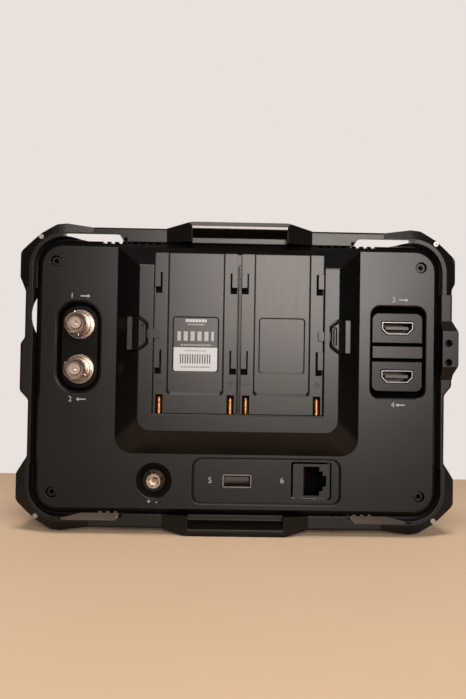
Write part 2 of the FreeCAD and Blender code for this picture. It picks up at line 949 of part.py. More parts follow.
def backlight_tray():
    side = seat_gap + tray_thick
    tray = rect_prism(0, 0, lcd_width + 2 * side, lcd_height + 2 * side, 0, tray_rear_y,
                      tray_rear_y + tray_lip)
    return tray.cut(rect_prism(0, 0, lcd_width + 2 * seat_gap, lcd_height + 2 * seat_gap, 0,
                               backlight_rear_y, lcd_rear_y))


def chassis_plate():
    half_x = inner_half_x - chassis_margin
    half_z = inner_half_z - chassis_margin
    plate = rect_prism(0, 0, 2 * half_x, 2 * half_z, body_corner - wall, chassis_rear_y, tray_rear_y)
    cuts = []
    for sx, sz in corners(1, 1):
        x = cover_screw_x - cover_post_r - seat_gap
        z = cover_screw_z - cover_post_r - seat_gap
        cuts.append(block(sx * x, sx * body_half_x, chassis_rear_y - overrun, tray_rear_y + overrun,
                          sz * z, sz * body_half_z))
    for x, z in corners(inner_half_x - lug_length / 2, lug_z):
        cuts.append(rod(x, z, chassis_screw_r + seat_gap, chassis_rear_y - overrun, tray_rear_y + overrun))
    cuts.append(ribbon_notch(chassis_rear_y, tray_rear_y))
    return plate.cut(fused(cuts))


def ribbon_notch(y0, y1):
    """Notch for the ribbon in the lower edge of a plate."""
    return block(ribbon_x - ribbon_width / 2 - seat_gap, ribbon_x + ribbon_width / 2 + seat_gap,
                 y0 - overrun, y1 + overrun, -body_half_z, ribbon_z() + seat_gap)


def ribbon_z():
    """Height of the ribbon, which lies against the lower side of the tray."""
    return -(lcd_height / 2 + seat_gap + tray_thick)


def display_ribbon():
    x0 = ribbon_x - ribbon_width / 2
    x1 = ribbon_x + ribbon_width / 2
    low = ribbon_z() - ribbon_thick
    run = block(x0, x1, board_rear_y - ribbon_thick, tray_rear_y + tray_lip, low, ribbon_z())
    leg = block(x0, x1, board_rear_y - ribbon_thick, board_rear_y, low, ribbon_z() + ribbon_leg)
    return fused([run, leg])


def chassis_screws():
    screws = []
    for x, z in corners(inner_half_x - lug_length / 2, lug_z):
        head = rod(x, z, chassis_head_r, chassis_rear_y - chassis_head_thick, chassis_rear_y)
        shank = rod(x, z, chassis_screw_r, chassis_rear_y, tray_rear_y + lug_depth)
        screws.append(head.fuse(shank))
    return Part.makeCompound(screws)


def board_standoffs():
    posts = []
    for x, z in corners(standoff_x, standoff_z):
        post = hex_prism(x, z, standoff_r, board_y, chassis_rear_y)
        posts.append(post.cut(rod(x, z, board_screw_r + pin_gap, board_y, chassis_rear_y)))
    return Part.makeCompound(posts)


def board_screws():
    screws = []
    for x, z in corners(standoff_x, standoff_z):
        head = rod(x, z, board_head_r, board_rear_y - board_head_thick, board_rear_y)
        shank = rod(x, z, board_screw_r, board_rear_y, chassis_rear_y)
        screws.append(head.fuse(shank))
    return Part.makeCompound(screws)


def main_board():
    board = block(-board_half_x, board_half_x, board_rear_y, board_y, board_low_z, board_high_z)
    cuts = [ribbon_notch(board_rear_y, board_y)]
    for x, z in corners(standoff_x, standoff_z):
        cuts.append(rod(x, z, board_screw_r + seat_gap, board_rear_y - overrun, board_y + overrun))
    return board.cut(fused(cuts))


def video_processor():
    return rect_prism(processor_x, processor_z, processor_side, processor_side, 0,
                      board_rear_y - processor_thick, board_rear_y)


def thermal_pad():
    rear = board_rear_y - processor_thick
    return rect_prism(processor_x, processor_z, processor_side, processor_side, 0, rear - pad_thick, rear)


def heat_spreader():
    seat_y = board_rear_y - processor_thick - pad_thick
    rear = seat_y - spreader_thick
    plate = rect_prism(processor_x, processor_z, spreader_width, spreader_height, 0, rear, seat_y)
    fins = []
    pitch = (spreader_width - fin_thick) / (fin_count - 1)
    for i in range(fin_count):
        x = processor_x - spreader_width / 2 + i * pitch
        fins.append(block(x, x + fin_thick, rear - fin_rise, rear, processor_z - spreader_height / 2,
                          processor_z + spreader_height / 2))
    return fused([plate] + fins)


def memory_chips():
    chips = []
    for row in (-1, 1):
        z = processor_z + row * memory_pitch / 2
        chips.append(rect_prism(memory_x, z, memory_width, memory_height, 0, board_rear_y - memory_thick,
                                board_rear_y))
    return Part.makeCompound(chips)


def board_capacitors():
    cans = []
    for i in range(capacitor_count):
        cans.append(rod(capacitor_x + i * capacitor_pitch, capacitor_z, capacitor_r,
                        board_rear_y - capacitor_rise, board_rear_y))
    return Part.makeCompound(cans)


# Rear cover

def hump_section(depth, inset):
    """Outline of the hump at a depth below its top, drawn in by inset."""
    share = depth / hump_height
    half = hump_top_half + (hump_base_half - hump_top_half) * share - inset
    low = hump_low_z + (hump_base_low_z - hump_low_z) * share + inset
    high = hump_high_z + (hump_base_high_z - hump_high_z) * share - inset
    radius = hump_corner + (hump_base_corner - hump_corner) * share
    corners_xz = [(-half, low), (half, low), (half, high), (-half, high)]
    return flat_outline(corners_xz, rear_y + depth, [radius, radius, 0, 0])


def hump():
    """Battery hump with sloping sides, and the block that carries the plates above its sloping top."""
    solid = Part.makeLoft([hump_section(0, hump_edge), hump_section(hump_edge, 0),
                           hump_section(hump_height, 0)], True, True)
    return solid.fuse(block(-bay_half, bay_half, bay_y, face_y + wall, 0, plate_high_z))


def cover_outside():
    body = rect_points(0, 0, body_width, body_height)
    face = rect_points(0, 0, face_width, face_height)
    sides = rect_prism(0, 0, body_width, body_height, body_corner, bevel_y, cover_front_y)
    return fused([sides, taper(face, face_corner, face_y, body, body_corner, bevel_y), hump()])


def cover_pads():
    """Thicker parts inside the cover: screw posts, connector seats and the latch spring stops."""
    pads = []
    for x, z in corners(cover_screw_x, cover_screw_z):
        pads.append(rod(x, z, cover_post_r, face_y, cover_front_y))
    pads.append(rect_prism(coax_x, coax_z, coax_recess_width + 2 * wall, coax_recess_height + 2 * wall,
                           coax_recess_width / 2 + wall, face_y, coax_floor_y + wall))
    pads.append(rect_prism(video_x, video_z, video_recess_width + 2 * video_frame,
                           video_recess_height + 2 * video_frame, video_recess_corner + video_frame,
                           face_y, video_plate_y))
    pads.append(rect_prism(port_x, port_z, port_width + 2 * port_frame, port_height + 2 * port_frame,
                           port_corner + port_frame, face_y, face_y + port_pad))
    pads.append(rod(inlet_x, inlet_z, inlet_boss_r, face_y, face_y + inlet_boss))
    for side in (-1, 1):
        stop = block(stop_inner_x, stop_inner_x + stop_thick, rear_y + stop_root, rear_y + stop_depth,
                     latch_z - stop_half, latch_z + stop_half)
        pads.append(sided(stop, side))
        for end in (-1, 1):
            pads.append(rod(side * retainer_post_x, latch_z + end * retainer_post_z, retainer_post_r,
                            under_bay_y, retainer_y()))
    return pads


def cover_cavity():
    inside = rect_points(0, 0, 2 * inner_half_x, 2 * inner_half_z)
    floor = rect_points(0, 0, face_width - 2 * wall, face_height - 2 * wall)
    sides = rect_prism(0, 0, 2 * inner_half_x, 2 * inner_half_z, body_corner - wall, bevel_y,
                       cover_front_y + overrun)
    slope = taper(floor, face_corner - wall, face_y + wall, inside, body_corner - wall, bevel_y)
    hollow = Part.makeLoft([hump_section(under_bay_y - rear_y, hump_wall),
                            hump_section(hump_height + wall + overrun, hump_wall)], True, True)
    return fused([sides, slope, hollow]).cut(fused(cover_pads()))


def cover_vents():
    """Slots through the top wall on the right, which are mirrored to the other three places."""
    slots = []
    for i in range(vent_count):
        x = vent_first_x + i * vent_pitch
        slots.append(block(x - vent_width / 2, x + vent_width / 2, face_y + vent_setback,
                           cover_front_y - wall, inner_half_z - overrun, body_half_z + overrun))
    return fused(slots)


def cover_screw_cuts():
    cuts = []
    for x, z in corners(cover_screw_x, cover_screw_z):
        cuts.append(rod(x, z, cover_bore_r, face_y - overrun, face_y + cover_bore_depth))
        cuts.append(rod(x, z, cover_shank_r + seat_gap, face_y, cover_front_y + tongue_depth + overrun))
    return cuts


def latch_outline(grow, out_x):
    """Outline of the right latch from its inner end to out_x, grown all round."""
    near = latch_inner_half + grow
    far = latch_half + grow
    inner = latch_inner_x - grow
    bend = hump_top_half - grow
    return [(inner, latch_z - near), (bend, latch_z - far), (out_x, latch_z - far),
            (out_x, latch_z + far), (bend, latch_z + far), (inner, latch_z + near)]


def latch_radii(grow):
    """Corner radii for latch_outline, whose two outer corners stay sharp."""
    radius = latch_round + grow
    return [radius, radius, 0, 0, radius, radius]


def latch_window():
    """Opening in the hump for the right latch over its whole travel."""
    points = latch_outline(latch_gap, flap_root_x + latch_travel + latch_gap)
    window = prism(points, latch_radii(latch_gap), rear_y - overrun, under_bay_y + overrun)
    arm = block(bay_half - overrun, latch_inner_x + overrun, rear_y + catch_top - seat_gap,
                rear_y + catch_top + catch_thick + seat_gap, latch_z - catch_half - run_gap,
                latch_z + catch_half + run_gap)
    return window.fuse(arm)


def battery_bay():
    bay = block(-bay_half, bay_half, rear_y - overrun, bay_y, plate_low_z - seat_gap, plate_high_z + overrun)
    rib = block(-rib_width / 2, rib_width / 2, rear_y + rib_drop, bay_y, plate_low_z - seat_gap, rib_high_z)
    low = plate_low_z - seat_gap
    behind = rear_y - overrun
    bevel = slice_along_x([(rear_y, low - bay_chamfer), (rear_y + bay_chamfer_depth, low), (behind, low),
                           (behind, low - bay_chamfer)], bay_half)
    return bay.cut(rib).fuse(bevel)


def plate_floor_holes():
    holes = []
    for side in (-1, 1):
        for x, z in plate_screw_places(side):
            holes.append(rod(x, z, plate_screw_r + seat_gap, bay_y - overrun, under_bay_y + overrun))
        for x in contact_places(side):
            holes.append(rod(x, plate_low_z + tail_rise, tail_r + tail_gap, bay_y - overrun,
                             under_bay_y + overrun))
    return holes


def rim_bevel(x, z, width, height, radius):
    """Shallow bevel round the rear edge of an opening in the cover's face."""
    wide = rect_points(x, z, width + 2 * rim_chamfer, height + 2 * rim_chamfer)
    return taper(wide, radius + rim_chamfer, face_y, rect_points(x, z, width, height), radius,
                 face_y + rim_chamfer_depth)


def connector_cuts():
    rim = rect_points(coax_x, coax_z, coax_recess_width, coax_recess_height)
    floor_width = coax_recess_width - 2 * coax_recess_slope
    floor = rect_points(coax_x, coax_z, floor_width, coax_recess_height - 2 * coax_recess_slope)
    cuts = [taper(rim, coax_recess_width / 2, face_y, floor, floor_width / 2, coax_floor_y),
            rim_bevel(coax_x, coax_z, coax_recess_width, coax_recess_height, coax_recess_width / 2),
            rim_bevel(video_x, video_z, video_recess_width, video_recess_height, video_recess_corner),
            rim_bevel(port_x, port_z, port_width + 2 * port_groove, port_height + 2 * port_groove,
                      port_corner + port_groove)]
    for z in coax_places():
        cuts.append(rod(coax_x, z, coax_thread_r + seat_gap, coax_floor_y - overrun,
                        coax_floor_y + wall + overrun))
    cuts.append(rect_prism(video_x, video_z, video_recess_width, video_recess_height, video_recess_corner,
                           face_y - overrun, video_plate_y + overrun))
    cuts.append(rect_prism(port_x, port_z, port_width + 2 * port_groove, port_height + 2 * port_groove,
                           port_corner + port_groove, face_y - overrun, face_y + port_sunk + port_thick))
    cuts.append(rect_prism(port_x, port_z, port_width - 2 * port_frame, port_height - port_frame / 2,
                           port_corner, face_y, face_y + port_pad + overrun))
    cuts.append(cone(inlet_x, inlet_z, inlet_recess_r, face_y, inlet_floor_r, inlet_floor_y))
    cuts.append(rod(inlet_x, inlet_z, inlet_barrel_r + seat_gap, face_y, face_y + inlet_boss + overrun))
    return cuts


def rear_cover():
    cover = cover_outside().cut(cover_cavity())
    posts = []
    for x, z in corners(cover_screw_x, cover_screw_z):
        posts.append(rod(x, z, cover_post_r, face_y + wall, bezel_rear_y))
    cover = cover.fuse(posts).removeSplitter()
    vents = cover_vents()
    window = latch_window()
    cuts = [battery_bay(), window, flipped_x(window), vents, flipped_x(vents), flipped_z(vents),
            flipped_z(flipped_x(vents)), button_path(run_gap, half_width, inner_half_x - overrun)]
    cuts += cover_screw_cuts() + plate_floor_holes() + connector_cuts() + retainer_screw_holes()
    for cut in cuts:
        cover = cover.cut(cut)
    return cover.removeSplitter()


def rear_cover_screws():
    screws = []
    seat_y = face_y + cover_bore_depth
    for x, z in corners(cover_screw_x, cover_screw_z):
        top_y = seat_y - cover_head_thick
        head = rod(x, z, cover_head_r, top_y, seat_y)
        head = head.cut(hex_prism(x, z, cover_socket_r, top_y, seat_y - cover_head_thick / 3))
        screws.append(head.fuse(rod(x, z, cover_shank_r, seat_y, bezel_rear_y + cover_grip)))
    return Part.makeCompound(screws)


# Battery plates

def plate_centre(side):
    return side * plate_pitch / 2


def contact_places(side):
    return [plate_centre(side) - contact_x, plate_centre(side) + contact_x]


def plate_screw_places(side):
    places = []
    for end in (-1, 1):
        for z in (plate_screw_low_z, plate_screw_high_z):
            places.append((plate_centre(side) + end * plate_screw_x, z))
    return places


def plate_hook(x, end, low, length):
    """Overhanging hook at one edge of a plate, with its stem in the hole below it."""
    edge = x + end * plate_width / 2
    top = rear_y + hook_drop
    cap = block(edge, edge - end * hook_width, top, top + hook_thick, low, low + length)
    stem = block(edge, edge - end * hook_stem, top, plate_y + hook_hole_depth, low, low + length)
    return cap.fuse(stem)


def polarity_mark(x, is_plus):
    bars = [block(x - mark_size / 2, x + mark_size / 2, plate_y - overrun, plate_y + mark_depth,
                  mark_z - mark_width / 2, mark_z + mark_width / 2)]
    if is_plus:
        bars.append(block(x - mark_width / 2, x + mark_width / 2, plate_y - overrun, plate_y + mark_depth,
                          mark_z - mark_size / 2, mark_z + mark_size / 2))
    return bars


def plate_panel(x):
    """Cut for the sunk middle panel of a plate, which slopes up at its lower end."""
    past = plate_high_z + overrun
    low = panel_low_z - panel_slope
    rim = rect_points(x, (low + past) / 2, panel_width + 2 * groove_width, past - low)
    floor = rect_points(x, (panel_low_z + past) / 2, panel_width, past - panel_low_z)
    return taper(rim, panel_corner, plate_y, floor, panel_corner, panel_y)


def label_place(x):
    """Cut for a label in a plate's panel, with a bevelled edge."""
    rim = rect_points(x, label_z, label_width + 2 * label_edge, label_height + 2 * label_edge)
    floor = rect_points(x, label_z, label_width, label_height)
    return taper(rim, label_corner + label_edge, panel_y, floor, label_corner, panel_y + label_recess)


def battery_plate(side):
    x = plate_centre(side)
    plate = block(x - plate_width / 2, x + plate_width / 2, plate_y, bay_y, plate_low_z, plate_high_z)
    cuts = [plate_panel(x), label_place(x)]
    hooks = []
    for end in (-1, 1):
        groove_x = x + end * (panel_width / 2 + groove_width / 2)
        cuts.append(block(groove_x - groove_width / 2, groove_x + groove_width / 2, plate_y - overrun,
                          plate_y + groove_depth, panel_low_z + panel_corner, plate_high_z + overrun))
        edge = x + end * plate_width / 2
        for low, length in ((upper_hook_low_z, upper_hook_length), (lower_hook_low_z, lower_hook_length)):
            hooks.append(plate_hook(x, end, low, length))
            cuts.append(block(edge, edge - end * (hook_width + hook_gap), plate_y - overrun,
                              plate_y + hook_hole_depth, low - hook_hole, low + length))
        slot_x = x + end * contact_x
        cuts.append(block(slot_x - contact_slot_width / 2, slot_x + contact_slot_width / 2, plate_y - overrun,
                          plate_y + contact_slot_depth, plate_low_z - overrun, contact_slot_high_z))
        cuts.append(rod(slot_x, plate_low_z + tail_rise, tail_r + tail_gap, plate_y, bay_y + overrun))
        cuts += polarity_mark(slot_x, end > 0)
    for hole_x, z in plate_screw_places(side):
        cuts.append(rod(hole_x, z, plate_screw_r + pin_gap, bay_y - plate_screw_bite, bay_y + overrun))
    return fused([plate.cut(fused(cuts))] + hooks)


def battery_contacts(side):
    """Round nosed pins that lie along the slide direction, each with a tail down to the contact board."""
    pins = []
    axis_y = plate_y + contact_r - contact_proud
    for x in contact_places(side):
        length = contact_high_z - contact_r - plate_low_z
        pin = Part.makeCylinder(contact_r, length, vec(x, axis_y, plate_low_z), vec(0, 0, 1))
        nose = Part.makeSphere(contact_r, vec(x, axis_y, contact_high_z - contact_r))
        tail = rod(x, plate_low_z + tail_rise, tail_r, axis_y, under_bay_y + board_thick)
        pins.append(fused([pin, nose, tail]))
    return Part.makeCompound(pins)


def battery_contact_board():
    board = block(-contact_board_half_x, contact_board_half_x, under_bay_y, under_bay_y + board_thick,
                  plate_low_z - contact_board_low, plate_low_z + contact_board_high)
    holes = []
    for side in (-1, 1):
        for x in contact_places(side):
            holes.append(rod(x, plate_low_z + tail_rise, tail_r + pin_gap, under_bay_y,
                             under_bay_y + board_thick))
    return board.cut(fused(holes))


def plate_screws():
    screws = []
    for side in (-1, 1):
        for x, z in plate_screw_places(side):
            head = rod(x, z, plate_screw_head_r, under_bay_y, under_bay_y + plate_screw_head_thick)
            screws.append(head.fuse(rod(x, z, plate_screw_r, bay_y - plate_screw_bite, under_bay_y)))
    return Part.makeCompound(screws)


def left_plate_label():
    floor_y = panel_y + label_recess
    return rect_prism(plate_centre(-1), label_z, label_width - seat_gap, label_height - seat_gap,
                      label_corner, floor_y - label_thick, floor_y)


# Release latches, drawn on the right

def retainer_y():
    return under_bay_y + seat_gap + base_thick + seat_gap


def latch_profile(half, points):
    """Slice of a latch with the given X and depth points, over its height about latch_z."""
    face = Part.Face(polygon([vec(x, rear_y + depth, latch_z - half) for x, depth in points]))
    return face.extrude(vec(0, 0, 2 * half))


def release_latch():
    """Latch with a crown in the hump's top and a flap that lies over the hump's side and ends in a finger lip."""
    slope = hump_height / (hump_base_half - hump_top_half)
    under_lip = lip_outer * slope - flap_gap
    under_root = flap_root * slope - flap_gap
    button = latch_profile(latch_half, [(latch_inner_x, 0), (hump_top_half - hump_edge, 0),
                                        (lip_inner_x, flap_depth), (lip_outer_x, flap_depth),
                                        (lip_outer_x, under_lip), (flap_root_x, under_root),
                                        (flap_root_x, latch_thick), (latch_inner_x, latch_thick)])
    lip = latch_profile(lip_half, [(lip_inner_x, lip_depth), (lip_outer_x, lip_depth),
                                   (lip_outer_x, under_lip), (lip_inner_x, flap_depth)])
    edge_y = rear_y + latch_edge_depth
    outline = latch_outline(0, lip_outer_x)
    crown = taper(latch_outline(-latch_edge, lip_outer_x), latch_radii(-latch_edge), rear_y,
                  outline, latch_radii(0), edge_y)
    button = button.common(fused([crown, prism(outline, latch_radii(0), edge_y, under_bay_y + overrun)]))
    grip = rect_prism(grip_x, latch_z, grip_width, grip_length, grip_width / 2, rear_y - overrun,
                      rear_y + grip_depth)
    rib = rect_prism(grip_x, latch_z, grip_rib, grip_length - 2 * grip_rib, grip_rib / 2, rear_y - overrun,
                     rear_y + grip_depth)
    neck = block(latch_inner_x, base_outer_x, rear_y + latch_thick, under_bay_y + seat_gap,
                 latch_z - latch_inner_half, latch_z + latch_inner_half)
    base_y = under_bay_y + seat_gap
    base = block(base_inner_x, base_outer_x, base_y, base_y + base_thick, latch_z - base_half,
                 latch_z + base_half)
    foot = block(foot_inner_x, foot_outer_x, base_y, rear_y + foot_depth, latch_z - foot_half,
                 latch_z + foot_half)
    catch_y = rear_y + catch_top
    catch = block(catch_reach_x, latch_inner_x + hump_edge, catch_y, catch_y + catch_thick,
                  latch_z - catch_half, latch_z + catch_half)
    return fused([button.cut(grip.cut(rib)), lip, neck, base, foot, catch])


def helix_point(turn):
    """Point and direction of the latch spring's middle line after a number of turns."""
    angle = 2 * math.pi * turn
    room = stop_inner_x - foot_outer_x - 2 * (spring_wire_r + pin_gap)
    pitch = room / spring_turns
    x = foot_outer_x + spring_wire_r + pin_gap + pitch * turn
    point = vec(x, rear_y + spring_depth + spring_r * math.cos(angle), latch_z + spring_r * math.sin(angle))
    along = vec(pitch / (2 * math.pi * spring_r), -math.sin(angle), math.cos(angle))
    return point, along.normalize()


def arc_from(start, along, end):
    """Arc that leaves start in the given direction and ends at end."""
    chord = end - start
    direction = vec(chord.x, chord.y, chord.z).normalize()
    bend = along - direction * along.dot(direction)
    rise = chord.Length / 2 * math.tan(along.getAngle(direction) / 2)
    middle = start + chord / 2 + bend.normalize() * rise
    return Part.Arc(start, middle, end).toShape()


def latch_spring():
    """Coil between the latch foot and the stop on the cover, built on pairs of arcs of a quarter turn."""
    edges = []
    steps = spring_turns * 4
    for i in range(steps):
        start, start_way = helix_point(i / 4)
        end, end_way = helix_point((i + 1) / 4)
        span = end - start
        both = start_way + end_way
        a = 2 * (1 - start_way.dot(end_way))
        b = 2 * span.dot(both)
        reach = (math.sqrt(b * b + 4 * a * span.dot(span)) - b) / (2 * a)
        joint = (start + start_way * reach + end - end_way * reach) / 2
        edges.append(arc_from(start, start_way, joint))
        joint_way = ((end - end_way * reach) - (start + start_way * reach)).normalize()
        edges.append(arc_from(joint, joint_way, end))
    path = Part.Wire(edges)
    start, way = helix_point(0)
    section = Part.Wire(Part.makeCircle(spring_wire_r, start, way))
    return path.makePipeShell([section], True, False)


def spring_gap():
    """Least free gap between neighbouring turns of the latch spring, measured on points."""
    points = [helix_point(i / 40)[0] for i in range(spring_turns * 40 + 1)]
    least = overall_width
    for i, point in enumerate(points):
        for other in points[i + 20:]:
            least = min(least, point.distanceToPoint(other))
    return least - 2 * spring_wire_r


def latch_retainer():
    y = retainer_y()
    plate = block(retainer_inner_x, retainer_outer_x, y, y + retainer_thick, latch_z - retainer_half,
                  latch_z + retainer_half)
    slot = block(foot_inner_x - run_gap, foot_outer_x + latch_travel + run_gap, y - overrun,
                 y + retainer_thick + overrun, latch_z - foot_half - run_gap, latch_z + foot_half + run_gap)
    cuts = [slot]
    for end in (-1, 1):
        cuts.append(rod(retainer_post_x, latch_z + end * retainer_post_z, retainer_screw_r + seat_gap,
                        y - overrun, y + retainer_thick + overrun))
    return plate.cut(fused(cuts))


def retainer_screw_holes():
    holes = []
    for side in (-1, 1):
        for end in (-1, 1):
            z = latch_z + end * retainer_post_z
            holes.append(rod(side * retainer_post_x, z, retainer_screw_r + pin_gap,
                             retainer_y() - retainer_screw_bite, retainer_y() + overrun))
    return holes


def retainer_screws():
    screws = []
    seat_y = retainer_y() + retainer_thick
    for side in (-1, 1):
        for end in (-1, 1):
            x = side * retainer_post_x
            z = latch_z + end * retainer_post_z
            head = rod(x, z, retainer_head_r, seat_y, seat_y + retainer_head_thick)
            screws.append(head.fuse(rod(x, z, retainer_screw_r, retainer_y() - retainer_screw_bite, seat_y)))
    return Part.makeCompound(screws)


# Power button on the left side

def button_section(gap, grow, x):
    half_length = button_length / 2 + gap + grow
    half_width_y = button_width / 2 + gap + grow
    low = button_z - half_length
    high = button_z + half_length
    rear = button_y - half_width_y
    front = button_y + half_width_y
    points = [vec(x, rear, low), vec(x, front, low), vec(x, front, high), vec(x, rear, high)]
    return Part.Face(rounded(points, half_width_y))


def button_path(gap, outer_x, inner_x):
    """Hole for the button through the left side, from outer_x in to inner_x."""
    return button_section(gap, 0, -outer_x).extrude(vec(outer_x - inner_x, 0, 0))


def power_button():
    flange_x = inner_half_x - seat_gap
    cap = button_section(0, 0, -button_face_x).extrude(vec(button_face_x - flange_x, 0, 0))
    flange = button_section(0, button_flange, -flange_x).extrude(vec(button_flange_thick, 0, 0))
    tip_x = switch_front_x + switch_plunger + button_travel + pin_gap
    stem_start = vec(-flange_x, button_y, button_z)
    stem = Part.makeCylinder(button_stem_r, flange_x - tip_x, stem_start, vec(1, 0, 0))
    return fused([cap, flange, stem])


def power_switch():
    case = block(-switch_front_x, -switch_front_x + switch_depth, button_y - switch_size / 2, board_rear_y,
                 button_z - switch_size / 2, button_z + switch_size / 2)
    plunger = Part.makeCylinder(switch_plunger_r, switch_plunger,
                                vec(-switch_front_x - switch_plunger, button_y, button_z), vec(1, 0, 0))
    return case.fuse(plunger)


# Coaxial sockets

def coax_places():
    return [coax_z + coax_pitch / 2, coax_z - coax_pitch / 2]


def rimmed_rod(x, z, radius, rim, y0, y1):
    """Rod with the edge at y0 bevelled."""
    return cone(x, z, radius - rim, y0, radius, y0 + rim).fuse(rod(x, z, radius, y0 + rim, y1))


def coax_shell(z, lug_turn):
    flange_y = coax_floor_y - coax_flange_thick
    body = [rimmed_rod(coax_x, z, coax_flange_r, coax_rim, flange_y, coax_floor_y),
            rimmed_rod(coax_x, z, coax_collar_r, coax_rim, flange_y - coax_collar, coax_floor_y),
            rimmed_rod(coax_x, z, coax_barrel_r, coax_rim, coax_tip_y, coax_floor_y),
            rod(coax_x, z, coax_thread_r, coax_floor_y, board_rear_y)]
    turn = math.radians(lug_turn)
    along = vec(math.cos(turn), 0, math.sin(turn))
    lug_start = vec(coax_x, coax_tip_y + coax_lug_setback, z) - along * coax_lug_reach
    body.append(Part.makeCylinder(coax_lug_r, 2 * coax_lug_reach, lug_start, along))
    shell = fused(body)
    bore = rod(coax_x, z, coax_bore_r, coax_tip_y - overrun, coax_tip_y + coax_bore_depth)
    mouth = cone(coax_x, z, coax_bore_r + coax_rim, coax_tip_y, coax_bore_r, coax_tip_y + coax_rim)
    through = rod(coax_x, z, coax_boss_r + pin_gap, coax_tip_y, board_rear_y + overrun)
    return shell.cut(fused([bore, mouth, through]))


def coax_insulator(z):
    boss = rod(coax_x, z, coax_boss_r, coax_tip_y + coax_boss_setback, board_rear_y)
    seat_y = coax_tip_y + coax_bore_depth
    seat = rod(coax_x, z, coax_bore_r - pin_gap, seat_y - coax_seat_thick, seat_y)
    return boss.fuse(seat).cut(rod(coax_x, z, coax_contact_r + pin_gap, coax_tip_y, board_rear_y + overrun))


def coax_contact(z):
    tip = coax_tip_y + coax_contact_setback
    pin = rod(coax_x, z, coax_contact_r, tip, board_rear_y)
    return pin.cut(rod(coax_x, z, coax_contact_bore_r, tip, tip + coax_bore_depth / 2))


def coax_nut(z):
    inside_y = coax_floor_y + wall
    nut = hex_prism(coax_x, z, coax_nut_r, inside_y, inside_y + coax_nut_thick)
    return nut.cut(rod(coax_x, z, coax_thread_r + pin_gap, inside_y, inside_y + coax_nut_thick))


# Video sockets

def video_places():
    return [video_z + video_pitch / 2, video_z - video_pitch / 2]


def video_outline(z, grow):
    """Socket outline with the wide side up, grown all round."""
    half = video_width / 2 + grow
    foot = video_foot_width / 2 + grow / 2
    top = z + video_height / 2 + grow
    low = z - video_height / 2 - grow
    knee = z + video_height / 2 - video_side_height - grow / 2
    return [(-half + video_x, top), (-half + video_x, knee), (-foot + video_x, low), (foot + video_x, low),
            (half + video_x, knee), (half + video_x, top)]


def video_islands():
    """Raised fields round the two sockets, cut from one rounded block."""
    height = video_pitch + island_height
    top = rect_points(video_x, video_z, island_width, height)
    base = rect_points(video_x, video_z, island_width + 2 * island_slope, height + 2 * island_slope)
    whole = taper(top, island_corner, face_y + island_depth, base, island_corner, video_plate_y)
    return whole.cut(rect_prism(video_x, video_z, video_recess_width, video_pitch - island_height, 0,
                                face_y, video_plate_y))


def video_faceplate():
    plate = rect_prism(video_x, video_z, video_recess_width + 2 * video_frame,
                       video_recess_height + 2 * video_frame, video_recess_corner, video_plate_y,
                       video_plate_y + video_plate_thick)
    bridge = rect_prism(video_x, video_z, island_width, bridge_height, 0, face_y + bridge_depth,
                        video_plate_y)
    cuts = []
    for z in video_places():
        cuts.append(prism(video_outline(z, video_gap), video_round, face_y,
                          video_plate_y + video_plate_thick + overrun))
    return fused([plate, bridge, video_islands()]).cut(fused(cuts))


def video_shell_piece(z):
    tip = face_y + island_depth - video_proud
    shell = prism(video_outline(z, 0), video_round, tip, board_rear_y)
    inside = prism(video_outline(z, -video_shell), video_round, tip - overrun, board_rear_y - video_back)
    return shell.cut(inside)


def video_tongue(z):
    tip = face_y + island_depth - video_proud + tongue_setback
    return rect_prism(video_x, z, tongue_width, tongue_thick, 0, tip, board_rear_y - video_back)


# Port panel

def port_panel():
    rear = face_y + port_sunk
    panel = rect_prism(port_x, port_z, port_width, port_height, port_corner, rear, rear + port_thick)
    cuts = [rect_prism(data_x, data_z, data_width + 2 * seat_gap, data_height + 2 * seat_gap, data_round,
                       rear - overrun, rear + port_thick + overrun),
            rect_prism(jack_x, jack_z, jack_width + 2 * jack_gap, jack_height + 2 * jack_gap, jack_corner,
                       rear - overrun, rear + port_thick + overrun)]
    return panel.cut(fused(cuts))


def data_socket_shell():
    tip = face_y + port_sunk - data_proud
    shell = rect_prism(data_x, data_z, data_width, data_height, data_round, tip, board_rear_y)
    inside = rect_prism(data_x, data_z, data_width - 2 * data_shell, data_height - 2 * data_shell, 0,
                        tip - overrun, board_rear_y - data_back)
    return shell.cut(inside)


def data_socket_tongue():
    tip = face_y + port_sunk - data_proud + data_tongue_setback
    return rect_prism(data_x, data_z + data_tongue_up, data_tongue_width, data_tongue_thick, 0, tip,
                      board_rear_y - data_back)


def network_jack_housing():
    tip = face_y + port_sunk - jack_proud
    housing = rect_prism(jack_x, jack_z, jack_width, jack_height, jack_corner, tip, board_rear_y)
    mouth_x = jack_x + jack_mouth_x
    key_x = mouth_x + jack_mouth_width / 2
    bottom = jack_bottom_y
    mouth = block(mouth_x - jack_mouth_width / 2, key_x, tip - overrun, bottom,
                  jack_z - jack_mouth_height / 2, jack_z + jack_mouth_height / 2)
    key = block(key_x, key_x + jack_key_width, tip - overrun, bottom, jack_z - jack_key_height / 2,
                jack_z + jack_key_height / 2)
    latch = block(key_x, key_x + jack_key_width + jack_latch_width, tip - overrun, bottom,
                  jack_z - jack_latch_height / 2, jack_z + jack_latch_height / 2)
    return housing.cut(fused([mouth, key, latch]))


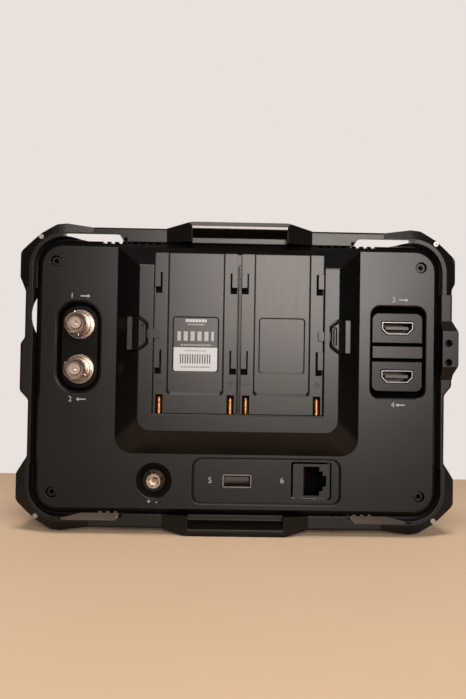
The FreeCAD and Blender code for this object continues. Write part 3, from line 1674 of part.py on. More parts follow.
def network_jack_contacts():
    """Sprung wires on the left wall of the mouth, each bent out towards the plug."""
    tip = face_y + port_sunk - jack_proud
    left = jack_x + jack_mouth_x - jack_mouth_width / 2
    front = tip + jack_pin_setback
    bottom = jack_bottom_y
    pins = []
    for i in range(jack_pin_count):
        z = jack_z + (i - (jack_pin_count - 1) / 2) * jack_pin_pitch - jack_pin_width / 2
        points = [vec(left, front, z), vec(left + jack_pin_thick, front, z),
                  vec(left + jack_pin_lift + jack_pin_thick, bottom - jack_pin_thick, z),
                  vec(left + jack_pin_lift + jack_pin_thick, bottom, z), vec(left + jack_pin_lift, bottom, z)]
        pins.append(Part.Face(polygon(points)).extrude(vec(0, 0, jack_pin_width)))
    return Part.makeCompound(pins)


# Power inlet

def power_inlet_body():
    inside_y = face_y + inlet_boss
    parts = [rimmed_rod(inlet_x, inlet_z, inlet_barrel_r, inlet_rim, inlet_tip_y, inside_y),
             rod(inlet_x, inlet_z, inlet_flange_r, inside_y, inside_y + inlet_flange),
             rod(inlet_x, inlet_z, inlet_back_r, inside_y, board_rear_y)]
    bore = rod(inlet_x, inlet_z, inlet_bore_r, inlet_tip_y - overrun, inlet_tip_y + inlet_bore_depth)
    pin_hole = rod(inlet_x, inlet_z, inlet_pin_r + pin_gap, inlet_tip_y, board_rear_y + overrun)
    return fused(parts).cut(fused([bore, pin_hole]))


def power_inlet_nut():
    top_y = inlet_floor_y - inlet_nut_thick
    nut = hex_prism(inlet_x, inlet_z, inlet_nut_r, top_y, inlet_floor_y)
    nut = nut.common(rimmed_rod(inlet_x, inlet_z, inlet_nut_r, inlet_nut_edge, top_y, inlet_floor_y))
    bore_r = inlet_barrel_r + pin_gap
    sink = cone(inlet_x, inlet_z, bore_r + inlet_nut_sink, top_y, bore_r, top_y + inlet_nut_sink)
    return nut.cut(sink.fuse(rod(inlet_x, inlet_z, bore_r, top_y, inlet_floor_y)))


def power_inlet_pin():
    return rod(inlet_x, inlet_z, inlet_pin_r, inlet_tip_y + inlet_pin_setback, board_rear_y)


# Writing the pieces

def save(name, shape):
    placed = shape.copy()
    placed.translate(vec(0, 0, half_height))
    placed.exportStep(os.path.join("parts", name + ".step"))


def pieces():
    upper_coax, lower_coax = coax_places()
    upper_video, lower_video = video_places()
    latch = release_latch()
    spring = latch_spring()
    retainer = latch_retainer()
    insert = mount_insert()
    return {
        "guard_frame": guard_frame(),
        "corner_screws": corner_screws(),
        "top_mount_insert": insert,
        "bottom_mount_insert": flipped_z(insert),
        "front_bezel": front_bezel(),
        "cover_glass": cover_glass(),
        "glass_adhesive": glass_adhesive(),
        "lcd_panel": lcd_panel(),
        "backlight_unit": backlight_unit(),
        "backlight_tray": backlight_tray(),
        "chassis_plate": chassis_plate(),
        "chassis_screws": chassis_screws(),
        "board_standoffs": board_standoffs(),
        "main_board": main_board(),
        "board_screws": board_screws(),
        "video_processor": video_processor(),
        "thermal_pad": thermal_pad(),
        "heat_spreader": heat_spreader(),
        "memory_chips": memory_chips(),
        "board_capacitors": board_capacitors(),
        "display_ribbon": display_ribbon(),
        "rear_cover": rear_cover(),
        "rear_cover_screws": rear_cover_screws(),
        "left_battery_plate": battery_plate(-1),
        "right_battery_plate": battery_plate(1),
        "left_battery_contacts": battery_contacts(-1),
        "right_battery_contacts": battery_contacts(1),
        "battery_contact_board": battery_contact_board(),
        "plate_screws": plate_screws(),
        "left_plate_label": left_plate_label(),
        "left_release_latch": flipped_x(latch),
        "right_release_latch": latch,
        "left_latch_spring": flipped_x(spring),
        "right_latch_spring": spring,
        "left_latch_retainer": flipped_x(retainer),
        "right_latch_retainer": retainer,
        "retainer_screws": retainer_screws(),
        "power_button": power_button(),
        "power_switch": power_switch(),
        "upper_coax_shell": coax_shell(upper_coax, upper_lug_turn),
        "upper_coax_insulator": coax_insulator(upper_coax),
        "upper_coax_contact": coax_contact(upper_coax),
        "upper_coax_nut": coax_nut(upper_coax),
        "lower_coax_shell": coax_shell(lower_coax, lower_lug_turn),
        "lower_coax_insulator": coax_insulator(lower_coax),
        "lower_coax_contact": coax_contact(lower_coax),
        "lower_coax_nut": coax_nut(lower_coax),
        "video_faceplate": video_faceplate(),
        "upper_video_shell": video_shell_piece(upper_video),
        "upper_video_tongue": video_tongue(upper_video),
        "lower_video_shell": video_shell_piece(lower_video),
        "lower_video_tongue": video_tongue(lower_video),
        "port_panel": port_panel(),
        "data_socket_shell": data_socket_shell(),
        "data_socket_tongue": data_socket_tongue(),
        "network_jack_housing": network_jack_housing(),
        "network_jack_contacts": network_jack_contacts(),
        "power_inlet_body": power_inlet_body(),
        "power_inlet_nut": power_inlet_nut(),
        "power_inlet_pin": power_inlet_pin(),
    }


os.makedirs("parts", exist_ok=True)
for piece_name, piece_shape in pieces().items():
    solids = len(piece_shape.Solids)
    state = "valid" if piece_shape.isValid() else "NOT VALID"
    print(piece_name, solids, "solids", round(piece_shape.Volume, 1), "mm3", state)
    save(piece_name, piece_shape)
print("least gap between the latch spring's turns", round(spring_gap(), 2), "mm")
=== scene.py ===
import bpy
import math
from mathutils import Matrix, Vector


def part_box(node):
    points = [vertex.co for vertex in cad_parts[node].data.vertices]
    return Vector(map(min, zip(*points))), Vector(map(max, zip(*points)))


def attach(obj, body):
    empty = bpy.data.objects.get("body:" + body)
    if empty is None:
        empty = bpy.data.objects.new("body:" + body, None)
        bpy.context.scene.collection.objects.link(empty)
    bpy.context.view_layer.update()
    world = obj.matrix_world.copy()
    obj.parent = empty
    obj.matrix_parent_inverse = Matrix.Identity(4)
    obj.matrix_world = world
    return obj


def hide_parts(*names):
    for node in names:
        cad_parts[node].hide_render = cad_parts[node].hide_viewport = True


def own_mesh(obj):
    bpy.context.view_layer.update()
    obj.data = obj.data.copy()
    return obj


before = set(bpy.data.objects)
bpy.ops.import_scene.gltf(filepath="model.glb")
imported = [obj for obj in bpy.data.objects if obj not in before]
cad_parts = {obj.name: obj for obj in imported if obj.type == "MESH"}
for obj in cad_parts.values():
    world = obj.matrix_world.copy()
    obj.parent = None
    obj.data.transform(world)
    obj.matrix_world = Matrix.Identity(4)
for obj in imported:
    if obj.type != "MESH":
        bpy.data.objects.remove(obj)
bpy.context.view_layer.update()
bpy.context.scene.view_settings.view_transform = "Standard"


# Front bezel: the moulded ABS ring that holds the screen. Screws through the cover's posts hold it, with
# the guard's flange clamped between. Its fine spark-eroded mould texture scatters the light, so it reads
# as soft black with a dull sheen.

def linear(code):
    """sRGB hex colour as linear red, green, blue and alpha."""
    parts = [int(code[i:i + 2], 16) / 255 for i in (1, 3, 5)]
    return [p / 12.92 if p <= 0.04045 else ((p + 0.055) / 1.055) ** 2.4 for p in parts] + [1]


def add(tree, kind, settings=(), links=()):
    """New node of a kind, with its properties or input values set and its inputs linked."""
    node = tree.nodes.new(kind)
    for name, value in dict(settings).items():
        if isinstance(name, str) and hasattr(node, name):
            setattr(node, name, value)
        else:
            node.inputs[name].default_value = value
    for name, source in dict(links).items():
        tree.links.new(source, node.inputs[name])
    return node


def finish_nodes(material, names):
    """Gives CAD nodes a material in place of the plain one they come with."""
    for name in names:
        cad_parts[name].material_slots[0].material = material


mm = 0.001
abs_black = bpy.data.materials.new("textured_abs_black")
abs_black.use_nodes = True
tree = abs_black.node_tree
shader = tree.nodes["Principled BSDF"]
shader.inputs["IOR"].default_value = 1.54
place = add(tree, "ShaderNodeTexCoord")
# The real grain is about 0.1 mm; it is drawn at 0.5 mm so that it shows.
grain = add(tree, "ShaderNodeTexNoise", {"Scale": 1 / (0.5 * mm), "Detail": 3.0},
            {"Vector": place.outputs["Object"]})
cloud = add(tree, "ShaderNodeTexNoise", {"Scale": 1 / (18 * mm), "Detail": 2.0},
            {"Vector": place.outputs["Object"]})
tone = add(tree, "ShaderNodeMix", {"data_type": "RGBA"}, {"Factor": grain.outputs["Fac"]})
tone.inputs["A"].default_value = linear("#060505")
tone.inputs["B"].default_value = linear("#0b0a09")
tree.links.new(tone.outputs["Result"], shader.inputs["Base Color"])
dull = add(tree, "ShaderNodeMapRange", {"To Min": 0.26, "To Max": 0.31}, {"Value": cloud.outputs["Fac"]})
tree.links.new(dull.outputs["Result"], shader.inputs["Roughness"])
soft_edge = add(tree, "ShaderNodeBevel", {"samples": 4, "Radius": 0.35 * mm})
texture = add(tree, "ShaderNodeBump", {"Strength": 0.15, "Distance": 0.03 * mm},
              {"Height": grain.outputs["Fac"], "Normal": soft_edge.outputs["Normal"]})
tree.links.new(texture.outputs["Normal"], shader.inputs["Normal"])
# Painted shade: the rear side's deep recess floors lose the face's sheen, fading out with depth.
axes = add(tree, "ShaderNodeSeparateXYZ", {}, {"Vector": place.outputs["Object"]})
recess_rim_y = -9.0 * mm
recess_shaded_y = -3.5 * mm
shade_depth = add(tree, "ShaderNodeMapRange", {"From Min": recess_rim_y, "From Max": recess_shaded_y},
           {"Value": axes.outputs["Y"]})
facing = add(tree, "ShaderNodeSeparateXYZ", {}, {"Vector": place.outputs["Normal"]})
rear = add(tree, "ShaderNodeMath", {"operation": "LESS_THAN", 1: 0}, {0: facing.outputs["Y"]})
shaded_floor_mask = add(tree, "ShaderNodeMath", {"operation": "MULTIPLY"},
                 {0: shade_depth.outputs["Result"], 1: rear.outputs["Value"]})
recess_shade_level = add(tree, "ShaderNodeMapRange", {"To Min": 0.2, "To Max": 0.0},
            {"Value": shaded_floor_mask.outputs["Value"]})
tree.links.new(recess_shade_level.outputs["Result"], shader.inputs["Specular IOR Level"])
finish_nodes(abs_black, ["front_bezel"])


# Cover glass: a clear sheet with ground edges, taped to the bezel's ledge.
# The coating leaves a faint uneven haze that only shows in reflections.

cover_sheet = bpy.data.materials.new("coated_cover_glass")
cover_sheet.use_nodes = True
tree = cover_sheet.node_tree
shader = tree.nodes["Principled BSDF"]
shader.inputs["Base Color"].default_value = linear("#eef2f2")
shader.inputs["IOR"].default_value = 1.51
shader.inputs["Transmission Weight"].default_value = 1.0
place = add(tree, "ShaderNodeTexCoord")
haze = add(tree, "ShaderNodeTexNoise", {"Scale": 1 / (25 * mm), "Detail": 4.0},
           {"Vector": place.outputs["Object"]})
gloss = add(tree, "ShaderNodeMapRange", {"To Min": 0.02, "To Max": 0.07}, {"Value": haze.outputs["Fac"]})
tree.links.new(gloss.outputs["Result"], shader.inputs["Roughness"])
finish_nodes(cover_sheet, ["cover_glass"])


# Glass adhesive: die-cut black foam tape between glass and ledge.
# Its open cells show as a fine dull mottle.

foam_tape = bpy.data.materials.new("black_foam_tape")
foam_tape.use_nodes = True
tree = foam_tape.node_tree
shader = tree.nodes["Principled BSDF"]
shader.inputs["Roughness"].default_value = 0.9
place = add(tree, "ShaderNodeTexCoord")
cells = add(tree, "ShaderNodeTexVoronoi", {"Scale": 1 / (0.4 * mm)}, {"Vector": place.outputs["Object"]})
tone = add(tree, "ShaderNodeMix", {"data_type": "RGBA"}, {"Factor": cells.outputs["Distance"]})
tone.inputs["A"].default_value = linear("#0b0b0b")
tone.inputs["B"].default_value = linear("#1c1c1c")
tree.links.new(tone.outputs["Result"], shader.inputs["Base Color"])
finish_nodes(foam_tape, ["glass_adhesive"])


# Display panel: the layered liquid crystal cell, dark when it is off, under a polarising film.
# The pixel grid is about 0.08 mm and is drawn at 0.4 mm so that it shows.

polariser = bpy.data.materials.new("polarising_film")
polariser.use_nodes = True
tree = polariser.node_tree
shader = tree.nodes["Principled BSDF"]
shader.inputs["IOR"].default_value = 1.49
shader.inputs["Roughness"].default_value = 0.18
place = add(tree, "ShaderNodeTexCoord")
grid = add(tree, "ShaderNodeTexChecker", {"Scale": 1 / (0.4 * mm)}, {"Vector": place.outputs["Object"]})
grid.inputs["Color1"].default_value = linear("#0c0d10")
grid.inputs["Color2"].default_value = linear("#101218")
tree.links.new(grid.outputs["Color"], shader.inputs["Base Color"])
finish_nodes(polariser, ["lcd_panel"])


# Backlight unit: a light guide in a filled white moulding, smooth and a little translucent.
# A soft mottle in the tone keeps it from looking painted.

white_resin = bpy.data.materials.new("moulded_white_resin")
white_resin.use_nodes = True
tree = white_resin.node_tree
shader = tree.nodes["Principled BSDF"]
shader.inputs["IOR"].default_value = 1.38
shader.inputs["Subsurface Weight"].default_value = 0.1
shader.inputs["Subsurface Scale"].default_value = 0.5 * mm
place = add(tree, "ShaderNodeTexCoord")
cloud = add(tree, "ShaderNodeTexNoise", {"Scale": 1 / (1.2 * mm), "Detail": 2.0},
            {"Vector": place.outputs["Object"]})
tone = add(tree, "ShaderNodeMix", {"data_type": "RGBA"}, {"Factor": cloud.outputs["Fac"]})
tone.inputs["A"].default_value = linear("#d8d2c8")
tone.inputs["B"].default_value = linear("#efebe4")
tree.links.new(tone.outputs["Result"], shader.inputs["Base Color"])
dull = add(tree, "ShaderNodeMapRange", {"To Min": 0.35, "To Max": 0.5}, {"Value": cloud.outputs["Fac"]})
tree.links.new(dull.outputs["Result"], shader.inputs["Roughness"])
finish_nodes(white_resin, ["backlight_unit"])


# Backlight tray, chassis plate and heat spreader: pressed aluminium sheet with rolling lines along X.
# The capacitor cans are drawn from the same metal.

rolled_sheet = bpy.data.materials.new("rolled_aluminium")
rolled_sheet.use_nodes = True
tree = rolled_sheet.node_tree
shader = tree.nodes["Principled BSDF"]
shader.inputs["Metallic"].default_value = 1.0
place = add(tree, "ShaderNodeTexCoord")
stretch = add(tree, "ShaderNodeMapping", {}, {"Vector": place.outputs["Object"]})
stretch.inputs["Scale"].default_value = (0.04, 1, 1)
lines = add(tree, "ShaderNodeTexNoise", {"Scale": 1 / (0.4 * mm), "Detail": 4.0},
            {"Vector": stretch.outputs["Vector"]})
tone = add(tree, "ShaderNodeMix", {"data_type": "RGBA"}, {"Factor": lines.outputs["Fac"]})
tone.inputs["A"].default_value = linear("#b4b5b6")
tone.inputs["B"].default_value = linear("#d2d2d1")
tree.links.new(tone.outputs["Result"], shader.inputs["Base Color"])
dull = add(tree, "ShaderNodeMapRange", {"To Min": 0.32, "To Max": 0.48}, {"Value": lines.outputs["Fac"]})
tree.links.new(dull.outputs["Result"], shader.inputs["Roughness"])
finish_nodes(rolled_sheet, ["backlight_tray", "chassis_plate", "heat_spreader", "board_capacitors"])


# Inner screws and threaded inserts: zinc-plated steel, the screws cold-headed and the inserts turned.
# The plating is grey, with faint wavy bands in its tone and sheen.

zinc_steel = bpy.data.materials.new("zinc_plated_steel")
zinc_steel.use_nodes = True
tree = zinc_steel.node_tree
shader = tree.nodes["Principled BSDF"]
shader.inputs["Metallic"].default_value = 1.0
place = add(tree, "ShaderNodeTexCoord")
bands = add(tree, "ShaderNodeTexWave", {"Scale": 1 / (6 * mm), "Distortion": 1.5, "Detail": 2.0},
            {"Vector": place.outputs["Object"]})
tone = add(tree, "ShaderNodeMix", {"data_type": "RGBA"}, {"Factor": bands.outputs["Fac"]})
tone.inputs["A"].default_value = linear("#8f9092")
tone.inputs["B"].default_value = linear("#b4b4b2")
tree.links.new(tone.outputs["Result"], shader.inputs["Base Color"])
dull = add(tree, "ShaderNodeMapRange", {"To Min": 0.25, "To Max": 0.4}, {"Value": bands.outputs["Fac"]})
tree.links.new(dull.outputs["Result"], shader.inputs["Roughness"])
finish_nodes(zinc_steel, ["chassis_screws", "board_screws", "plate_screws", "retainer_screws",
                          "top_mount_insert", "bottom_mount_insert"])


# Board standoffs: hexagonal brass posts that hold the main board off the chassis plate.
# They are cut from drawn bar, whose skin is faintly mottled.

brass_bar = bpy.data.materials.new("drawn_brass")
brass_bar.use_nodes = True
tree = brass_bar.node_tree
shader = tree.nodes["Principled BSDF"]
shader.inputs["Metallic"].default_value = 1.0
shader.inputs["Roughness"].default_value = 0.3
place = add(tree, "ShaderNodeTexCoord")
mottle = add(tree, "ShaderNodeTexNoise", {"Scale": 1 / (0.6 * mm), "Detail": 3.0},
             {"Vector": place.outputs["Object"]})
tone = add(tree, "ShaderNodeMix", {"data_type": "RGBA"}, {"Factor": mottle.outputs["Fac"]})
tone.inputs["A"].default_value = linear("#b08d4c")
tone.inputs["B"].default_value = linear("#d2b06a")
tree.links.new(tone.outputs["Result"], shader.inputs["Base Color"])
finish_nodes(brass_bar, ["board_standoffs"])


# Main board and battery contact board: glass-filled epoxy under green solder mask.
# Copper tracks under the mask show as paler lines, in staggered rows 2.4 mm apart.

solder_mask = bpy.data.materials.new("green_solder_mask")
solder_mask.use_nodes = True
tree = solder_mask.node_tree
shader = tree.nodes["Principled BSDF"]
shader.inputs["IOR"].default_value = 1.55
shader.inputs["Roughness"].default_value = 0.35
place = add(tree, "ShaderNodeTexCoord")
upright = add(tree, "ShaderNodeMapping", {}, {"Vector": place.outputs["Object"]})
upright.inputs["Rotation"].default_value = (math.pi / 2, 0, 0)
tracks = add(tree, "ShaderNodeTexBrick",
             {"Scale": 1 / (8 * mm), "Mortar Size": 0.04, "Brick Width": 0.9, "Row Height": 0.3},
             {"Vector": upright.outputs["Vector"]})
tracks.inputs["Color1"].default_value = linear("#0f4a22")
tracks.inputs["Color2"].default_value = linear("#124f26")
tracks.inputs["Mortar"].default_value = linear("#2c7a41")
tree.links.new(tracks.outputs["Color"], shader.inputs["Base Color"])
finish_nodes(solder_mask, ["main_board", "battery_contact_board"])


# Chips and switch case: black moulding resin with a matt eroded surface.
# The fine speckle is the filler that shows through.

chip_resin = bpy.data.materials.new("black_epoxy_resin")
chip_resin.use_nodes = True
tree = chip_resin.node_tree
shader = tree.nodes["Principled BSDF"]
shader.inputs["IOR"].default_value = 1.55
shader.inputs["Roughness"].default_value = 0.5
place = add(tree, "ShaderNodeTexCoord")
speckle = add(tree, "ShaderNodeTexNoise", {"Scale": 1 / (0.3 * mm), "Detail": 2.0},
              {"Vector": place.outputs["Object"]})
tone = add(tree, "ShaderNodeMix", {"data_type": "RGBA"}, {"Factor": speckle.outputs["Fac"]})
tone.inputs["A"].default_value = linear("#141414")
tone.inputs["B"].default_value = linear("#2a2a2a")
tree.links.new(tone.outputs["Result"], shader.inputs["Base Color"])
finish_nodes(chip_resin, ["video_processor", "memory_chips", "power_switch"])


# Thermal pad: soft grey silicone pressed between the processor and the heat spreader.
# It is filled with ceramic powder, so it is mottled and quite matt.

silicone_pad = bpy.data.materials.new("filled_grey_silicone")
silicone_pad.use_nodes = True
tree = silicone_pad.node_tree
shader = tree.nodes["Principled BSDF"]
shader.inputs["IOR"].default_value = 1.41
shader.inputs["Roughness"].default_value = 0.8
place = add(tree, "ShaderNodeTexCoord")
mottle = add(tree, "ShaderNodeTexNoise", {"Scale": 1 / (0.8 * mm), "Detail": 3.0},
             {"Vector": place.outputs["Object"]})
tone = add(tree, "ShaderNodeMix", {"data_type": "RGBA"}, {"Factor": mottle.outputs["Fac"]})
tone.inputs["A"].default_value = linear("#7d828a")
tone.inputs["B"].default_value = linear("#a2a7ad")
tree.links.new(tone.outputs["Result"], shader.inputs["Base Color"])
finish_nodes(silicone_pad, ["thermal_pad"])


# Display ribbon: amber polyimide film with copper lines along it, folded from the tray to the board.
# The lines are 0.5 mm apart across the ribbon.

ribbon_film = bpy.data.materials.new("polyimide_film")
ribbon_film.use_nodes = True
tree = ribbon_film.node_tree
shader = tree.nodes["Principled BSDF"]
shader.inputs["IOR"].default_value = 1.7
shader.inputs["Roughness"].default_value = 0.3
place = add(tree, "ShaderNodeTexCoord")
across = add(tree, "ShaderNodeSeparateXYZ", {}, {"Vector": place.outputs["Object"]})
count = add(tree, "ShaderNodeMath", {"operation": "MULTIPLY", 1: 1 / (0.5 * mm)}, {0: across.outputs["X"]})
line = add(tree, "ShaderNodeMath", {"operation": "FRACT"}, {0: count.outputs["Value"]})
edge = add(tree, "ShaderNodeMath", {"operation": "GREATER_THAN", 1: 0.5}, {0: line.outputs["Value"]})
tone = add(tree, "ShaderNodeMix", {"data_type": "RGBA"}, {"Factor": edge.outputs["Value"]})
tone.inputs["A"].default_value = linear("#8a4a16")
tone.inputs["B"].default_value = linear("#b9722e")
tree.links.new(tone.outputs["Result"], shader.inputs["Base Color"])
finish_nodes(ribbon_film, ["display_ribbon"])


# Rear cover: one ABS moulding with the battery hump, vents and recesses, textured like the bezel.
# Its four sunk screws are blackened steel with softened rims; their hexagon sockets are painted black as
# shade.

finish_nodes(abs_black, ["rear_cover"])
black_oxide = bpy.data.materials.new("black_oxide_steel")
black_oxide.use_nodes = True
tree = black_oxide.node_tree
shader = tree.nodes["Principled BSDF"]
shader.inputs["Metallic"].default_value = 1.0
place = add(tree, "ShaderNodeTexCoord")
bloom = add(tree, "ShaderNodeTexNoise", {"Scale": 1 / (0.7 * mm), "Detail": 3.0},
            {"Vector": place.outputs["Object"]})
tone = add(tree, "ShaderNodeMix", {"data_type": "RGBA"}, {"Factor": bloom.outputs["Fac"]})
tone.inputs["A"].default_value = linear("#1b1a1a")
tone.inputs["B"].default_value = linear("#2e2d2c")
head_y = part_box("rear_cover_screws")[0].y
axes = add(tree, "ShaderNodeSeparateXYZ", {}, {"Vector": place.outputs["Object"]})
# Painted shade: the head's colour turns black down inside the hexagon socket.
socket = add(tree, "ShaderNodeMapRange", {"From Min": head_y + 0.1 * mm, "From Max": head_y + 0.4 * mm},
             {"Value": axes.outputs["Y"]})
socket_shade = add(tree, "ShaderNodeMix", {"data_type": "RGBA"},
            {"Factor": socket.outputs["Result"], "A": tone.outputs["Result"]})
socket_shade.inputs["B"].default_value = linear("#050505")
tree.links.new(socket_shade.outputs["Result"], shader.inputs["Base Color"])
dull = add(tree, "ShaderNodeMapRange", {"To Min": 0.25, "To Max": 0.4}, {"Value": bloom.outputs["Fac"]})
tree.links.new(dull.outputs["Result"], shader.inputs["Roughness"])
soft_edge = add(tree, "ShaderNodeBevel", {"samples": 4, "Radius": 0.5 * mm})
tree.links.new(soft_edge.outputs["Normal"], shader.inputs["Normal"])
finish_nodes(black_oxide, ["rear_cover_screws"])


# Battery plates: glass-filled nylon mouldings, a little greyer than the cover, screwed on from inside.
# Batteries slide over them, so fine scuffs run up and down; the hook holes lose their sheen as painted shade.

plate_nylon = bpy.data.materials.new("glass_filled_nylon")
plate_nylon.use_nodes = True
tree = plate_nylon.node_tree
shader = tree.nodes["Principled BSDF"]
shader.inputs["IOR"].default_value = 1.53
place = add(tree, "ShaderNodeTexCoord")
axes = add(tree, "ShaderNodeSeparateXYZ", {}, {"Vector": place.outputs["Object"]})
# Painted shade: the sheen fades to nothing down in the hook holes.
hole_rim_y = -17.7 * mm
hole_shaded_y = -17.2 * mm
shade_depth = add(tree, "ShaderNodeMapRange",
           {"From Min": hole_rim_y, "From Max": hole_shaded_y, "To Min": 0.22, "To Max": 0.0},
           {"Value": axes.outputs["Y"]})
tree.links.new(shade_depth.outputs["Result"], shader.inputs["Specular IOR Level"])
grain = add(tree, "ShaderNodeTexNoise", {"Scale": 1 / (0.5 * mm), "Detail": 3.0},
            {"Vector": place.outputs["Object"]})
stretch = add(tree, "ShaderNodeMapping", {}, {"Vector": place.outputs["Object"]})
stretch.inputs["Scale"].default_value = (1, 1, 0.03)
scuff = add(tree, "ShaderNodeTexNoise", {"Scale": 1 / (0.9 * mm), "Detail": 3.0},
            {"Vector": stretch.outputs["Vector"]})
mixed = add(tree, "ShaderNodeMath", {"operation": "MULTIPLY"},
            {0: grain.outputs["Fac"], 1: scuff.outputs["Fac"]})
tone = add(tree, "ShaderNodeMix", {"data_type": "RGBA"}, {"Factor": mixed.outputs["Value"]})
tone.inputs["A"].default_value = linear("#0b0a09")
tone.inputs["B"].default_value = linear("#1d1917")
tree.links.new(tone.outputs["Result"], shader.inputs["Base Color"])
dull = add(tree, "ShaderNodeMapRange", {"To Min": 0.27, "To Max": 0.32}, {"Value": scuff.outputs["Fac"]})
tree.links.new(dull.outputs["Result"], shader.inputs["Roughness"])
soft_edge = add(tree, "ShaderNodeBevel", {"samples": 4, "Radius": 0.2 * mm})
texture = add(tree, "ShaderNodeBump", {"Strength": 0.15, "Distance": 0.03 * mm},
              {"Height": grain.outputs["Fac"], "Normal": soft_edge.outputs["Normal"]})
tree.links.new(texture.outputs["Normal"], shader.inputs["Normal"])
finish_nodes(plate_nylon, ["left_battery_plate", "right_battery_plate"])


# Battery contacts and jack contacts: gold-plated copper pins, burnished where the battery slides on.
# The plating is warm, bright where it is rubbed and brown where it is not.

gold_plate = bpy.data.materials.new("gold_plated_copper")
gold_plate.use_nodes = True
tree = gold_plate.node_tree
shader = tree.nodes["Principled BSDF"]
shader.inputs["Metallic"].default_value = 1.0
place = add(tree, "ShaderNodeTexCoord")
rub = add(tree, "ShaderNodeTexNoise", {"Scale": 1 / (0.8 * mm), "Detail": 3.0},
          {"Vector": place.outputs["Object"]})
streak = add(tree, "ShaderNodeMapRange", {"From Min": 0.38, "From Max": 0.62},
             {"Value": rub.outputs["Fac"]})
tone = add(tree, "ShaderNodeMix", {"data_type": "RGBA"}, {"Factor": streak.outputs["Result"]})
tone.inputs["A"].default_value = linear("#63371a")
tone.inputs["B"].default_value = linear("#c98f55")
tree.links.new(tone.outputs["Result"], shader.inputs["Base Color"])
dull = add(tree, "ShaderNodeMapRange", {"To Min": 0.3, "To Max": 0.45}, {"Value": rub.outputs["Fac"]})
tree.links.new(dull.outputs["Result"], shader.inputs["Roughness"])
finish_nodes(gold_plate, ["left_battery_contacts", "right_battery_contacts", "network_jack_contacts"])


# Left plate label: printed polyester film in a shallow recess, dark above and white below.
# Its print is rows of plain bars, and the film has a slight satin grain.

label_low, label_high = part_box("left_plate_label")
label_split = label_low.z + 10.6 * mm
label_film = bpy.data.materials.new("printed_polyester_film")
label_film.use_nodes = True
tree = label_film.node_tree
shader = tree.nodes["Principled BSDF"]
shader.inputs["IOR"].default_value = 1.58
shader.inputs["Specular IOR Level"].default_value = 0.22
place = add(tree, "ShaderNodeTexCoord")
axes = add(tree, "ShaderNodeSeparateXYZ", {}, {"Vector": place.outputs["Object"]})
upper = add(tree, "ShaderNodeMath", {"operation": "GREATER_THAN", 1: label_split}, {0: axes.outputs["Z"]})
field = add(tree, "ShaderNodeMix", {"data_type": "RGBA"}, {"Factor": upper.outputs["Value"]})
field.inputs["A"].default_value = linear("#a6a9ae")
field.inputs["B"].default_value = linear("#171413")
print_colour = field.outputs["Result"]
# Rows of bars: distance up, height, inset from each side and pitch in mm, then inked share and colour.
label_rows = ((3.4, 4.2, 2.6, 1.1, 0.5, "#2a2725"),
              (1.5, 0.7, 3.2, 0.9, 0.6, "#5b5653"),
              (8.8, 0.6, 5.0, 0.8, 0.6, "#6b6663"),
              (11.4, 0.6, 2.8, 1.3, 0.7, "#85878b"),
              (13.6, 4.2, 1.6, 3.1, 0.6, "#8c8e92"),
              (20.6, 0.6, 6.0, 1.0, 0.7, "#85878b"),
              (22.0, 1.3, 5.0, 1.4, 0.8, "#a6a9ae"))
for up, height, inset, pitch, share, colour in label_rows:
    count = add(tree, "ShaderNodeMath", {"operation": "MULTIPLY", 1: 1 / (pitch * mm)},
                {0: axes.outputs["X"]})
    step = add(tree, "ShaderNodeMath", {"operation": "FRACT"}, {0: count.outputs["Value"]})
    bar = add(tree, "ShaderNodeMath", {"operation": "LESS_THAN", 1: share}, {0: step.outputs["Value"]})
    inside = bar.outputs["Value"]
    for axis, operation, limit in (("Z", "GREATER_THAN", label_low.z + up * mm),
                                   ("Z", "LESS_THAN", label_low.z + (up + height) * mm),
                                   ("X", "GREATER_THAN", label_low.x + inset * mm),
                                   ("X", "LESS_THAN", label_high.x - inset * mm)):
        test = add(tree, "ShaderNodeMath", {"operation": operation, 1: limit}, {0: axes.outputs[axis]})
        both = add(tree, "ShaderNodeMath", {"operation": "MULTIPLY"}, {0: inside, 1: test.outputs["Value"]})
        inside = both.outputs["Value"]
    ink = add(tree, "ShaderNodeMix", {"data_type": "RGBA"}, {"Factor": inside, "A": print_colour})
    ink.inputs["B"].default_value = linear(colour)
    print_colour = ink.outputs["Result"]
tree.links.new(print_colour, shader.inputs["Base Color"])
satin = add(tree, "ShaderNodeTexNoise", {"Scale": 1 / (0.6 * mm), "Detail": 2.0},
            {"Vector": place.outputs["Object"]})
dull = add(tree, "ShaderNodeMapRange", {"To Min": 0.28, "To Max": 0.34}, {"Value": satin.outputs["Fac"]})
tree.links.new(dull.outputs["Result"], shader.inputs["Roughness"])
finish_nodes(label_film, ["left_plate_label"])


# Release latches and their retainers: ABS slides moulded in the cover's own texture.
# Each latch is sprung towards its battery and pulled out by its finger lip; its edges are sharper.

latch_abs = abs_black.copy()
latch_abs.name = "sharp_edged_abs_black"
latch_abs.node_tree.nodes["Bevel"].inputs["Radius"].default_value = 0.1 * mm
finish_nodes(latch_abs, ["left_release_latch", "right_release_latch", "left_latch_retainer",
                         "right_latch_retainer"])
